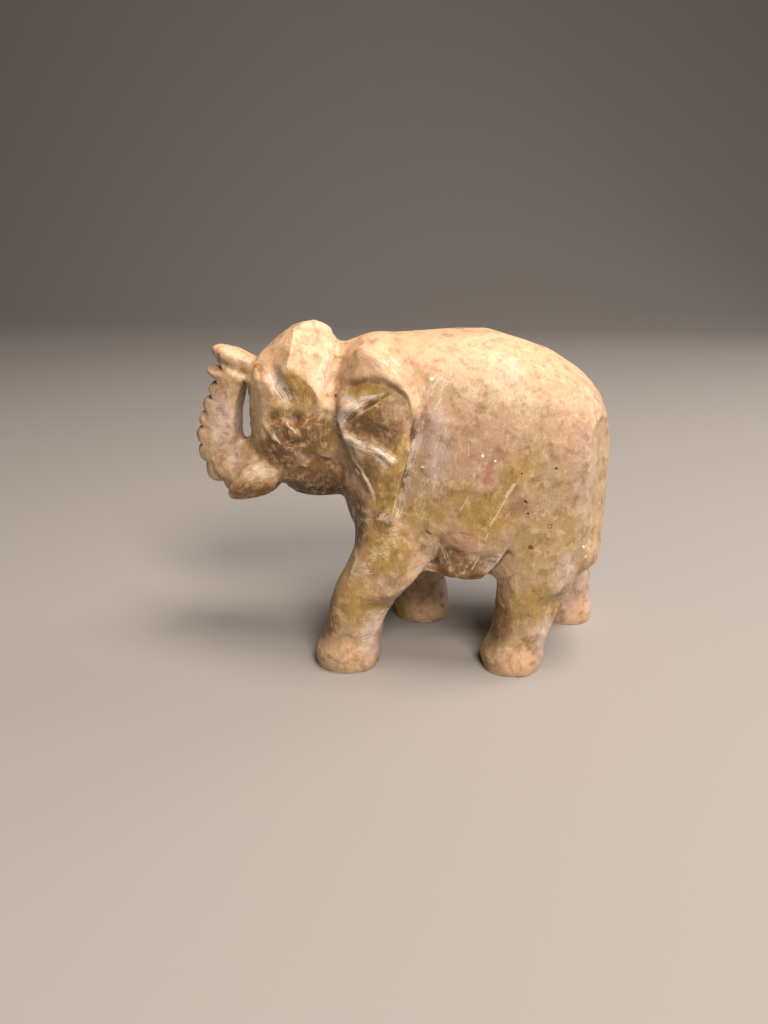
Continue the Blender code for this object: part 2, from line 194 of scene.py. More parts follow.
def spline(rows: tuple, count: int) -> np.ndarray:
    """Joins rows of numbers by a smooth curve that passes through all of them.

    Args:
        rows: Rows of equal length, in order.
        count: How many samples to take, evenly in the curve's parameter.

    Returns:
        An array of count rows.
    """
    table = np.array(rows, dtype=float)
    ends = np.vstack((2 * table[0] - table[1], table, 2 * table[-1] - table[-2]))
    samples = []
    for t in np.linspace(0.0, len(table) - 1.0, count):
        i = min(int(t), len(table) - 2)
        u = t - i
        a, b, c, d = ends[i:i + 4]
        bend = 2 * a - 5 * b + 4 * c - d + u * (3 * b - a - 3 * c + d)
        samples.append(b + 0.5 * u * (c - a + u * bend))
    return np.array(samples)


def ring(
    bm: bmesh.types.BMesh,
    centre: Triple,
    first: Triple,
    second: Triple,
    squareness: float = 2.0,
    squareness_below: float | None = None,
) -> list[bmesh.types.BMVert]:
    """Adds a closed ring of edges.

    Args:
        bm: The mesh under construction.
        centre: Middle of the ring.
        first: Half axis along the ring's own x.
        second: Half axis along the ring's own y.
        squareness: 2 for an ellipse, more for a squarer ring, less for a keeled one.
        squareness_below: The same for the half on the negative side of second.

    Returns:
        The ring's vertices in order.
    """
    verts = bmesh.ops.create_circle(bm, segments=RING_POINTS, radius=1.0)["verts"]
    for vert in verts:
        below = squareness_below is not None and vert.co.y < 0.0
        power = 2.0 / (squareness_below if below else squareness)
        a = math.copysign(abs(vert.co.x) ** power, vert.co.x)
        b = math.copysign(abs(vert.co.y) ** power, vert.co.y)
        vert.co = Vector(centre) + a * Vector(first) + b * Vector(second)
    return verts


def loft(bm: bmesh.types.BMesh, rings: list[list[bmesh.types.BMVert]]) -> None:
    """Skins a row of rings and caps both ends, as one closed shell.

    Args:
        bm: The mesh under construction.
        rings: Rings of vertices, in order.
    """
    loops = [list({edge for vert in verts for edge in vert.link_edges}) for verts in rings]
    for one, other in zip(loops, loops[1:]):
        bmesh.ops.bridge_loops(bm, edges=one + other)
    for end in (loops[0], loops[-1]):
        bmesh.ops.contextual_create(bm, geom=end)


def add_round(bm: bmesh.types.BMesh, centre: Triple, half: Triple, turn: float = 0.0) -> None:
    """Adds an egg of stone.

    Args:
        bm: The mesh under construction.
        centre: Middle of the egg.
        half: Its three half axes.
        turn: Turn about the Y axis, in radians.
    """
    place = Matrix.Translation(centre) @ Matrix.Rotation(turn, 4, "Y")
    stretch = Matrix.Diagonal((*half, 1.0))
    around, upwards = EGG_POINTS
    bmesh.ops.create_uvsphere(
        bm, u_segments=around, v_segments=upwards, radius=1.0, matrix=place @ stretch
    )


def object_of(name: str, bm: bmesh.types.BMesh) -> bpy.types.Object:
    """Turns a bmesh into an object with its faces outwards. The bmesh is freed.

    Args:
        name: The object's name.
        bm: The finished bmesh.

    Returns:
        The new object, linked to the scene.
    """
    bmesh.ops.recalc_face_normals(bm, faces=bm.faces)
    mesh = bpy.data.meshes.new(name)
    bm.to_mesh(mesh)
    bm.free()
    obj = bpy.data.objects.new(name, mesh)
    bpy.context.scene.collection.objects.link(obj)
    return obj


def evaluated(obj: bpy.types.Object) -> bpy.types.Mesh:
    """Applies the object's modifiers, and removes the object.

    Args:
        obj: The object.

    Returns:
        Its mesh as the modifiers leave it.
    """
    bpy.context.view_layer.update()
    graph = bpy.context.evaluated_depsgraph_get()
    mesh = bpy.data.meshes.new_from_object(obj.evaluated_get(graph))
    bpy.data.objects.remove(obj)
    return mesh


def polished(mesh: bpy.types.Mesh, rounds: int) -> bpy.types.Mesh:
    """Moves each point of a skin half way towards its neighbours' mean, a few times.

    Args:
        mesh: The skin to polish.
        rounds: How many half steps to take.

    Returns:
        A polished copy.
    """
    obj = bpy.data.objects.new("polish", mesh)
    bpy.context.scene.collection.objects.link(obj)
    smooth = obj.modifiers.new("polish", "SMOOTH")
    smooth.factor = POLISH_STEP
    smooth.iterations = rounds
    return evaluated(obj)


def nearest_two(centres: np.ndarray, points: np.ndarray) -> tuple[np.ndarray, np.ndarray]:
    """Finds the two centres nearest to each point.

    Args:
        centres: The centres to choose from.
        points: The points.

    Returns:
        The numbers of the two centres of each point, and how far they are, nearest first.
    """
    tree = KDTree(len(centres))
    for number, centre in enumerate(centres):
        tree.insert(centre, number)
    tree.balance()
    hits = [tree.find_n(point, 2) for point in points]
    nearest = np.array([[hit[1] for hit in pair] for pair in hits])
    distance = np.array([[hit[2] for hit in pair] for pair in hits])
    return nearest, distance


class Stone:
    """The stone under the tools: its skin, and the look of every point of it."""

    # Colours laid in clouds; umber among them is painted shade.
    CLOUDS = ("olive", "brown", "rose", "lilac", "cream", "painted_shade")
    PATH_SAMPLES = 8
    END_STRENGTH = 0.1
    SIDE_FROM_MM = 1.5
    SIDE_FACING = 0.05
    RAW_GROW = 1.25
    RIM = 0.3
    PLANE_NEAR_MM = 0.35
    PLANE_ALIKE = (0.8, 0.15)
    PATCH_GAIN = 1.6
    PATCH_FACING_GAIN = 2.0
    SWELLS = 9
    LONGEST_SWELL = 2.2
    SOLE_FADE_MM = 2.0
    SOLE_SHARE = 0.3
    LEAST_FACETS = 8
    FACET_SINK_MM = 0.4
    FACET_SEAM = 0.35
    FACET_ALIKE = (0.6, 0.25)
    FACET_NEAR_MM = (0.5, 0.25)
    SOFT_RIM = 0.5
    HOLLOW_ROUNDS = 24
    EDGE_ROUNDS = 6

    def __init__(self, mesh: bpy.types.Mesh) -> None:
        """Takes the skin in hand.

        Args:
            mesh: The skin.
        """
        self.mesh = mesh
        count = len(mesh.vertices)
        self.points = np.empty((count, 3))
        self.normals = np.empty((count, 3))
        mesh.vertices.foreach_get("co", self.points.reshape(-1))
        self.read_normals()
        self.raw = np.zeros(count)
        self.grain = np.zeros((count, 3))
        self.clouds = {name: np.zeros(count) for name in self.CLOUDS}

    def read_normals(self) -> None:
        """Reads the normals of the skin as it now is."""
        self.mesh.vertex_normals.foreach_get("vector", self.normals.reshape(-1))

    def write_points(self) -> None:
        """Puts the moved points back into the mesh, and reads its new normals."""
        self.mesh.vertices.foreach_set("co", self.points.reshape(-1))
        self.mesh.update()
        self.read_normals()

    def near_path(self, path: np.ndarray, reach: float) -> np.ndarray:
        """Finds the points whose x and z lie in the path's own box.

        Args:
            path: The path's points as x and z.
            reach: How far the box reaches beyond the path.

        Returns:
            The numbers of those points.
        """
        low, high = path.min(axis=0) - reach, path.max(axis=0) + reach
        flat = self.points[:, ::2]
        return np.nonzero(np.all((flat > low) & (flat < high), axis=1))[0]

    @staticmethod
    def along_path(flat: np.ndarray, path: np.ndarray) -> tuple[np.ndarray, ...]:
        """Measures points against a path.

        Args:
            flat: Points as x and z.
            path: The path's points as x and z.

        Returns:
            Signed distance, positive on the right of the path, the share of the path that is
            passed, and the length passed, for each point.
        """
        lengths = np.linalg.norm(np.diff(path, axis=0), axis=1)
        passed = np.concatenate(((0.0,), np.cumsum(lengths)))
        away = np.full(len(flat), np.inf)
        sign = np.ones(len(flat))
        run = np.zeros(len(flat))
        for start, end, before, length in zip(path, path[1:], passed, lengths):
            along = (end - start) / length
            t = np.clip((flat - start) @ along, 0.0, length)
            offset = flat - start - t[:, None] * along
            distance = np.linalg.norm(offset, axis=1)
            closer = distance < away
            away[closer] = distance[closer]
            turn = along[1] * offset[:, 0] - along[0] * offset[:, 1]
            sign[closer] = np.where(turn[closer] >= 0.0, 1.0, -1.0)
            run[closer] = before + t[closer]
        return away * sign, run / passed[-1], run

    def strength(self, cut: Cut, side: float, grow: float = 1.0) -> tuple[np.ndarray, ...]:
        """Works out how strongly a cut meets each point.

        Args:
            cut: The stroke.
            side: -1 or 1 for one side of the figure, 0 for all round.
            grow: Factor on the stroke's reach.

        Returns:
            The numbers of the points it may meet, its strength there from 0 to 1, the signed
            distance across it and the length along it.
        """
        path = spline(cut.path, self.PATH_SAMPLES * len(cut.path))
        right, left = cut.width * grow, (cut.edge or cut.width) * grow
        chosen = self.near_path(path, max(right, left))
        away, share, run = self.along_path(self.points[chosen][:, ::2], path)
        inner, outer = cut.profile.value
        reach = np.where(away > 0.0, right, left) * (1.0 - cut.taper * share)
        t = np.clip(np.abs(away) / reach, 0.0, 1.0)
        strength = (1.0 - t ** inner) ** outer
        from_end = np.minimum(share, 1.0 - share) / cut.ends
        strength *= np.clip(from_end + self.END_STRENGTH, 0.0, 1.0)
        if side:
            facing = fade_in(self.normals[chosen, 1] * side, self.SIDE_FACING, self.RIM)
            strength *= facing * (self.points[chosen, 1] * side > self.SIDE_FROM_MM)
        return chosen, strength, away, run

    def cut(self, cut: Cut) -> None:
        """Makes one stroke on each of its sides.

        Args:
            cut: The stroke.
        """
        for side in cut.side.value:
            chosen, strength, _, _ = self.strength(cut, side)
            self.points[chosen] -= self.normals[chosen] * (cut.depth * strength)[:, None]

    def leave_raw(self, cut: Cut) -> None:
        """Marks where a stroke has left raw stone, with file marks along the stroke.

        Args:
            cut: The stroke.
        """
        for side in cut.side.value:
            chosen, strength, away, run = self.strength(cut, side, self.RAW_GROW)
            self.mark(chosen, np.sqrt(strength) * cut.raw, run, away)

    def mark(self, chosen: np.ndarray, raw: np.ndarray, along: np.ndarray,
             across: np.ndarray) -> None:
        """Marks points as raw where they are rawer than before.

        Args:
            chosen: The numbers of the points.
            raw: How raw each becomes.
            along: Place of each along its file marks.
            across: Place of each across them.
        """
        rawer = raw > self.raw[chosen]
        kept = chosen[rawer]
        self.raw[kept] = raw[rawer]
        self.grain[kept, 0] = along[rawer]
        self.grain[kept, 1] = across[rawer]

    def file_flat(self, flat: Flat) -> None:
        """Files a plane: what stands proud of it within reach comes down to it.

        Args:
            flat: The plane.
        """
        facing, offset, fade = self.plane(flat)
        proud = np.clip(offset @ facing, 0.0, None)
        self.points -= facing * (proud * fade)[:, None]

    def plane(self, flat: Flat) -> tuple[np.ndarray, ...]:
        """Measures the skin against a plane.

        Args:
            flat: The plane.

        Returns:
            The way it faces, each point's offset from its middle, and how strongly it takes each.
        """
        facing = np.array(flat.facing) / np.linalg.norm(flat.facing)
        offset = self.points - np.array(flat.point)
        reach = np.linalg.norm(offset, axis=1) / flat.reach
        return facing, offset, fade_out(reach, 1.0, self.RIM)

    def leave_flat_raw(self, flat: Flat) -> None:
        """Marks raw stone where a plane was filed.

        Args:
            flat: The plane.
        """
        facing, offset, fade = self.plane(flat)
        on_plane = np.clip(1.0 - np.abs(offset @ facing) / self.PLANE_NEAR_MM, 0.0, 1.0)
        alike = fade_in(self.normals @ facing, *self.PLANE_ALIKE)
        everything = np.arange(len(self.points))
        lie = along_and_across(offset[:, 0], offset[:, 2], flat.angle)
        self.mark(everything, on_plane * alike * fade * flat.raw, *lie)

    def rub(self, patch: Patch) -> None:
        """Leaves an oval of file marks on a side of the figure.

        Args:
            patch: The oval.
        """
        x, z = (self.points[:, ::2] - patch.centre).T
        along, across = along_and_across(x, z, patch.angle)
        inside = 1.0 - (along / patch.half[0]) ** 2 - (across / patch.half[1]) ** 2
        for side in patch.side.value:
            facing = np.clip(self.normals[:, 1] * side * self.PATCH_FACING_GAIN, 0.0, 1.0)
            strength = np.clip(self.PATCH_GAIN * inside, 0.0, 1.0) * facing * patch.raw
            chosen = np.nonzero(strength > 0.0)[0]
            scaled = (along[chosen] / patch.coarse, across[chosen] / patch.coarse)
            self.mark(chosen, strength[chosen], *scaled)

    def tint(self, cloud: Cloud) -> None:
        """Adds a soft cloud of one colour, and its twin on the other side.

        Args:
            cloud: The cloud.
        """
        field_of = self.clouds[cloud.colour]
        for mirror in (1, -1) if cloud.twin else (1,):
            offset = (self.points * (1, mirror, 1) - cloud.centre) / cloud.half
            near = np.clip(1.0 - (offset ** 2).sum(axis=1), 0.0, 1.0)
            np.maximum(field_of, near * cloud.strength, out=field_of)

    def undulate(self, height: float, wave: float, seed: int) -> None:
        """Leaves the faint unevenness of hand work.

        Args:
            height: Greatest height of the swells.
            wave: Shortest distance from swell to swell.
            seed: Seed of their directions.
        """
        rng = np.random.default_rng(seed)
        swell = np.zeros(len(self.points))
        for _ in range(self.SWELLS):
            heading = rng.normal(size=3)
            length = np.linalg.norm(heading) * wave * rng.uniform(1.0, self.LONGEST_SWELL)
            heading *= 2 * math.pi / length
            swell += np.sin(self.points @ heading + rng.uniform(0.0, 2 * math.pi))
        above_sole = self.points[:, 2] / self.SOLE_FADE_MM - self.SOLE_SHARE
        above_sole = np.clip(above_sole, 0.0, 1.0)
        swell = height * swell / math.sqrt(self.SWELLS) * above_sole
        self.points += self.normals * swell[:, None]

    def facet(self, facets: Facets, seed: int) -> None:
        """Flattens the skin towards the planes of scattered points, as a knife does.

        Args:
            facets: Where the planes lie, how wide they are and how far they reach.
            seed: Seed of their scatter.
        """
        rng = np.random.default_rng(seed)
        inside = (((self.points[:, ::2] - facets.centre) / facets.half) ** 2).sum(axis=1)
        strength = fade_out(inside, 1.0, self.RIM) * facets.share
        chosen = np.nonzero(strength > 0.0)[0]
        count = int(len(chosen) * (FINE_GRAIN / facets.width) ** 2)
        count = max(self.LEAST_FACETS, count)
        picked = rng.choice(chosen, count, replace=False)
        centres, facing = self.points[picked], self.normals[picked]
        facing = facing + rng.normal(size=facing.shape) * facets.tilt
        facing /= np.linalg.norm(facing, axis=1)[:, None]
        nearest, distance = nearest_two(centres, self.points[chosen])
        own = fade_in(distance[:, 1] - distance[:, 0], 0.0, self.FACET_SEAM * facets.width)
        move = np.zeros((len(chosen), 3))
        cells = nearest[:, 0]
        proud = ((self.points[chosen] - centres[cells]) * facing[cells]).sum(axis=1)
        proud = np.clip(proud, -self.FACET_SINK_MM, self.FACET_SINK_MM)
        sunk = np.bincount(cells, proud, count) / np.maximum(np.bincount(cells, None, count), 1)
        centres = centres + facing * sunk[:, None]
        for column, weight in ((0, 0.5 + 0.5 * own), (1, 0.5 - 0.5 * own)):
            plane = facing[nearest[:, column]]
            proud = ((self.points[chosen] - centres[nearest[:, column]]) * plane).sum(axis=1)
            alike = (self.normals[chosen] * plane).sum(axis=1)
            weight = weight * fade_in(alike, *self.FACET_ALIKE)
            weight *= fade_out(np.abs(proud), *self.FACET_NEAR_MM)
            move -= plane * (proud * weight)[:, None]
        self.points[chosen] += move * strength[chosen, None]

    def soften(self, soft: Soft) -> None:
        """Rubs one place smooth on both sides, by mixing in a much polished copy.

        Args:
            soft: The place.
        """
        copy = Stone(polished(self.mesh.copy(), soft.rounds))
        inside = (((self.points[:, ::2] - soft.centre) / soft.half) ** 2).sum(axis=1)
        share = fade_out(inside, 1.0, self.SOFT_RIM)[:, None]
        self.points += (copy.points - self.points) * share
        self.write_points()

    def hollows(self, rounds: int) -> np.ndarray:
        """Returns how deep each point lies in a hollow, against a much polished copy."""
        soft = Stone(polished(self.mesh.copy(), rounds))
        return ((soft.points - self.points) * self.normals).sum(axis=1)

    def keep_looks(self) -> None:
        """Stores the look of every point as attributes of the mesh."""
        hollow, edge = self.hollows(self.HOLLOW_ROUNDS), -self.hollows(self.EDGE_ROUNDS)
        fields = {"raw": self.raw, "hollow": hollow, "edge": edge}
        fields.update(self.clouds)
        for name, values in fields.items():
            attribute = self.mesh.attributes.new(name, "FLOAT", "POINT")
            attribute.data.foreach_set("value", values.astype(np.float32))
        grain = self.mesh.attributes.new("grain", "FLOAT_VECTOR", "POINT")
        grain.data.foreach_set("vector", self.grain.astype(np.float32).reshape(-1))


class Part:
    """What the tools do to a part of the figure. A part fills the tables that it needs."""

    flats: tuple[Flat, ...] = ()
    facets: tuple[Facets, ...] = ()
    cuts: tuple[Cut, ...] = ()
    patches: tuple[Patch, ...] = ()
    clouds: tuple[Cloud, ...] = ()


@dataclass
class Torso(Part):
    """The barrel of the body, from chest to rump."""

    rings: tuple = (
        (-9.0, 27.0, 49.0, 6.0),
        (-7.6, 22.5, 50.4, 8.4),
        (-4.5, 18.0, 51.5, 10.6),
        (1.0, 16.2, 51.5, 12.2),
        (8.0, 15.2, 52.0, 13.1),
        (14.0, 15.2, 51.8, 13.4),
        (20.0, 15.4, 49.9, 13.1),
        (25.0, 15.4, 47.4, 12.5),
        (28.5, 15.8, 44.6, 11.3),
        (30.6, 16.3, 41.2, 9.2),
        (31.5, 17.5, 36.4, 6.6),
    )
    samples: int = 40
    back_squareness: float = 2.5
    belly_squareness: float = 5.0
    slab: tuple = (
        (-4.0, 17.6, 28.0, 10.6),
        (2.0, 16.4, 28.0, 11.6),
        (8.0, 15.7, 28.0, 12.3),
        (12.4, 15.7, 28.0, 12.3),
        (14.2, 17.4, 28.0, 12.2),
        (16.4, 21.0, 28.0, 11.8),
    )
    slab_samples: int = 24
    slab_squareness: float = 9.0
    groin: Soft = Soft((5.0, 16.2), (3.2, 1.9), 16)
    under: Soft = Soft((10.4, 20.6), (6.6, 3.0), 60)

    def add(self, bm: bmesh.types.BMesh) -> None:
        """Adds the barrel."""
        squareness = (self.back_squareness, self.belly_squareness)
        self.add_barrel(bm, spline(self.rings, self.samples), *squareness)

    def add_slab(self, bm: bmesh.types.BMesh) -> None:
        """Adds the squared belly between the legs."""
        self.add_barrel(bm, spline(self.slab, self.slab_samples), self.slab_squareness)

    @staticmethod
    def add_barrel(bm: bmesh.types.BMesh, rows: np.ndarray, *squareness: float) -> None:
        """Adds a barrel that lies along x.

        Args:
            bm: The mesh under construction.
            rows: For each ring its x, lowest z, highest z and half width.
            squareness: How square its back is, and its belly where that differs.
        """
        rings = []
        for x, low, high, half_width in rows:
            centre = (x, 0.0, (low + high) / 2)
            across, upright = (0.0, half_width, 0.0), (0.0, 0.0, (high - low) / 2)
            rings.append(ring(bm, centre, across, upright, *squareness))
        loft(bm, rings)

    @property
    def flats(self) -> list[Flat]:
        """The planes filed on the belly, the loin and both corners of the rump."""
        planes = [Flat((10.5, 0.0, 15.9), (0.0, 0.0, -1.0), 12.0)]
        for side in Side.BOTH.value:
            planes.append(Flat((29.3, side * 8.0, 32.0), (0.86, side * 0.5, 0.03), 15.0,
                               raw=0.3, angle=88.0))
            planes.append(Flat((22.8, side * 8.85, 44.9), (0.32, side * 0.69, 0.64), 9.0))
        return planes

    # The faint planes of the flank and the smaller ones under the belly.
    facets = (
        Facets((12, 33), (26, 24), 4.6, 0.55, 0.035),
        Facets((9, 15), (8, 5), 2.4, 0.7, 0.07),
    )

    # The edges of the belly between the legs.
    cuts = (
        Cut(((-0.8, 10.3), (1.7, 13.8), (3.9, 16.4), (5.1, 18), (5.7, 19.6), (6.1, 21.4),
            (6.4, 23.6)), 3.2, 0.8, edge=0.5, side=Side.LEFT, ends=0.12),
        Cut(((3.9, 16.7), (5, 18), (5.6, 19.6), (6, 21.4), (6.2, 23)), 0.25, 0, side=Side.LEFT,
            raw=0.95),
        Cut(((12.8, 15.4), (13.9, 16.8), (15.5, 19.2), (16.8, 22.2)), 1.8, 0.9, edge=0.5,
            side=Side.LEFT, profile=Profile.VEE, ends=0.2),
        Cut(((13.4, 17.2), (15, 19.6), (16.2, 22.4)), 0.35, 0, side=Side.LEFT, raw=0.9),
        Cut(((9.2, 15), (9, 20), (9.4, 24)), 3, 0.8, edge=0.7, side=Side.RIGHT),
        Cut(((18.6, 14), (19.2, 17.6), (20.4, 22)), 1.2, 0.8, edge=1.2, side=Side.RIGHT,
            profile=Profile.VEE, raw=0.3),
    )

    # The file marks on the belly, flank and rump.
    patches = (
        Patch((7.4, 19.6), (3.6, 1.4), 86, 0.55, Side.LEFT),
        Patch((10.4, 18.2), (3.4, 2.6), 78, 0.45, Side.LEFT),
        Patch((13.6, 19.8), (3, 1.6), 62, 0.62, Side.LEFT),
        Patch((25.4, 17.6), (3.6, 1), 66, 0.62, Side.LEFT),
        Patch((27, 26), (6, 0.8), 84, 0.5, Side.LEFT),
        Patch((28, 36), (7, 0.9), 92, 0.5, Side.LEFT),
        Patch((5.6, 44.6), (5, 2.4), 62, 0.60, Side.LEFT),
        Patch((6.2, 36), (7, 2.2), 84, 0.50, Side.LEFT),
        Patch((4.4, 30), (6, 1.6), 76, 0.56, Side.LEFT),
        Patch((11.8, 43.2), (2.2, 0.8), 30, 0.35, Side.LEFT),
        Patch((20, 37.6), (3.2, 2), 78, 0.50, Side.LEFT),
        Patch((12, 36), (3.4, 1.4), 80, 0.50, Side.LEFT),
        Patch((16, 20), (6, 5), 75, 0.4, Side.RIGHT),
        Patch((6, 42), (8, 2.6), 80, 0.45, Side.RIGHT),
        Patch((20, 36), (6, 3), 85, 0.38, Side.RIGHT),
    )

    # The colours of back, flank, belly and rump.
    clouds = (
        Cloud("cream", (10, 0, 53), (32, 17, 13.5), 1),
        Cloud("rose", (9, -13, 38), (14, 12, 9), 0.8),
        Cloud("rose", (24, -10, 40), (9, 9, 8), 0.7),
        Cloud("lilac", (26.4, -10, 33), (4, 7, 10), 0.6),
        Cloud("lilac", (5.4, -12, 37), (3.4, 6, 8), 0.75),
        Cloud("lilac", (25, -10, 18), (3, 7, 6), 0.7),
        Cloud("rose", (12.6, -13, 33.5), (3, 6, 4), 0.9),
        Cloud("rose", (17, -13, 28.8), (4, 6, 3.4), 0.85),
        Cloud("rose", (10, -13, 23.6), (5, 6, 3.4), 0.75),
        Cloud("rose", (7, -13, 27.4), (2.6, 6, 3), 0.7),
        Cloud("rose", (14, 13, 36), (16, 12, 12), 0.8),
        Cloud("olive", (13, -13, 27.2), (5.5, 7, 4.5), 1),
        Cloud("olive", (9.6, -13, 29.8), (4, 7, 3.6), 0.75),
        Cloud("olive", (4.6, -13, 26.5), (5, 7, 5), 0.7),
        Cloud("olive", (17.4, -13, 34.4), (5, 6, 5), 0.6),
        Cloud("olive", (21, -13, 23), (8, 7, 7), 0.5),
        Cloud("olive", (10, 13, 25), (14, 7, 8), 0.8),
        Cloud("brown", (9.4, -12, 17.6), (5.4, 6, 3.4), 1),
        Cloud("brown", (8.2, -12, 20.2), (3.4, 5, 2.2), 0.8),
        Cloud("brown", (13.6, -12, 19.4), (2.4, 5, 2.6), 0.7),
        Cloud("brown", (17.6, -13, 28.6), (2.4, 5, 2.4), 0.55),
        Cloud("brown", (12.8, -13, 26.2), (2, 5, 1.8), 0.55),
        Cloud("brown", (11.6, -12.2, 42.6), (2.2, 4, 1.6), 0.6),
        Cloud("brown", (9.5, 0, 13), (14, 13, 5), 0.8),
    )


@dataclass
class Head(Part):
    """The head, from jaw to crown."""

    rings: tuple = (
        (26.1, -17.0, -8.0, 3.8),
        (28.2, -19.6, -6.0, 5.6),
        (31.5, -22.4, -4.5, 7.0),
        (36.0, -24.0, -4.0, 7.9),
        (41.0, -24.0, -4.0, 8.0),
        (45.5, -23.6, -4.5, 7.4),
        (49.0, -21.3, -7.0, 6.6),
        (51.6, -18.2, -9.6, 5.0),
        (53.1, -15.8, -12.4, 2.8),
    )
    samples: int = 32
    squareness: float = 2.4

    def add(self, bm: bmesh.types.BMesh) -> None:
        """Adds the head, ring by ring up z: z, front x, back x, half width.

        Args:
            bm: The mesh under construction.
        """
        rings = []
        for z, front, back, half_width in spline(self.rings, self.samples):
            centre = ((front + back) / 2, 0.0, z)
            along, across = ((back - front) / 2, 0.0, 0.0), (0.0, half_width, 0.0)
            rings.append(ring(bm, centre, along, across, self.squareness))
        loft(bm, rings)

    @property
    def flats(self) -> list[Flat]:
        """The planes of the dome, one behind and one before the brow, and of each temple."""
        planes = []
        for side in Side.BOTH.value:
            planes.append(Flat((-13.2, side * 4.7, 47.3), (0.46, side * 0.70, 0.54), 8.2,
                               raw=0.34, angle=78.0))
            planes.append(Flat((-18.6, side * 4.6, 48.2), (-0.50, side * 0.66, 0.56), 5.5))
            planes.append(Flat((-14.6, side * 7.0, 42.6), (-0.12, side * 0.98, 0.06), 4.4))
        return planes

    # The planes of the whole head, and the rough lumps of cheek and jaw.
    facets = (
        Facets((-16, 40), (11, 16), 3.4, 0.6, 0.05),
        Facets((-14.5, 31), (8, 5), 1.6, 0.9, 0.16),
        Facets((-16.5, 37), (4.6, 3.4), 1.1, 0.9, 0.20),
    )

    # The valley of the neck, and the strokes that shape brow, cheek and jaw.
    cuts = (
        Cut(((-9.8, 55), (-9.7, 50), (-10.2, 46), (-10.9, 41)), 1.5, 0.6, edge=2.2,
            side=Side.ROUND),
        Cut(((-9.7, 52), (-10.1, 48.6), (-10.6, 45), (-11, 42)), 0.7, 0.35, edge=1.6,
            profile=Profile.VEE, ends=0.1),
        Cut(((-10.4, 52), (-11, 48.6), (-11.4, 45), (-11.2, 42.4)), 1.2, 0, raw=0.72),
        Cut(((-20.2, 47.8), (-18.6, 45.2), (-17, 42.8), (-15.9, 40.8)), 1.9, 0.9, raw=0.8,
            ends=0.3),
        Cut(((-15.2, 34.5), (-13.4, 33.8), (-12, 33.2), (-10.2, 32.9), (-8.8, 34.4)), 3, 0.65,
            edge=0.9, ends=0.3),
        Cut(((-18, 32.6), (-14.4, 30.6), (-9, 29.6)), 1.7, 0.35),
        Cut(((-14.6, 31.6), (-12.6, 30.4)), 1.2, 0.35),
        Cut(((-20.8, 36.6), (-19.2, 35.2), (-18.2, 33)), 0.7, 0.3, profile=Profile.VEE, raw=0.2),
        Cut(((-20.6, 35), (-19.6, 33.8), (-19, 32.4)), 0.6, 0.3, profile=Profile.VEE, raw=0.2),
    )

    # The file marks beside the brow and on the cheek.
    patches = (
        Patch((-17.8, 43.9), (3.6, 1.4), 118, 0.85),
        Patch((-11.5, 46.4), (5, 1.2), 84, 0.80),
        Patch((-20.6, 36.6), (2, 0.8), 148, 0.5),
        Patch((-12, 40.6), (1.6, 0.9), 115, 0.4),
    )

    # The colours of crown, face and jaw; the brown and umber under the jaw and in the eye sockets
    # are painted shade.
    clouds = (
        Cloud("cream", (-13, 0, 52), (9, 10, 9), 1),
        Cloud("cream", (-11.6, 6, 44.6), (3, 4, 4.6), 0.9, True),
        Cloud("olive", (-16, 7.5, 43.6), (4.6, 5, 4.5), 0.9, True),
        Cloud("lilac", (-18.6, 7, 45.4), (2.8, 5, 4), 0.6, True),
        Cloud("olive", (-12, 7.5, 37), (4.6, 5, 4), 0.7, True),
        Cloud("brown", (-14.8, 8, 37.4), (7, 6, 4.4), 1, True),
        Cloud("brown", (-11, 8, 38.4), (4, 6, 4.4), 0.7, True),
        # Painted shade under the jaw.
        Cloud("brown", (-13, 6, 29), (9, 8, 6), 1, True),
        Cloud("brown", (-18.5, 6, 34), (4.5, 4, 4), 1, True),
        Cloud("brown", (-17.6, 6, 48.6), (2.2, 4, 2), 0.5, True),
        # Painted shade in the eye socket.
        Cloud("brown", (-17.8, 7, 39.4), (3.8, 5, 2), 1, True),
        # Painted shade under the jaw, and umber as painted shade in the eye socket and below the
        # lower lid.
        Cloud("brown", (-12, 5, 28.4), (10, 9, 4), 1, True),
        Cloud("painted_shade", (-13.4, 4, 27.6), (8, 9, 4.6), 1, True),
        Cloud("painted_shade", (-18.6, 7, 39.2), (3.2, 4, 1.8), 0.45, True),
        Cloud("painted_shade", (-18, 7, 34.2), (3, 4, 1.2), 0.6, True),
        Cloud("cream", (-20.5, 4, 46.8), (3.6, 5, 4.6), 0.9, True),
    )


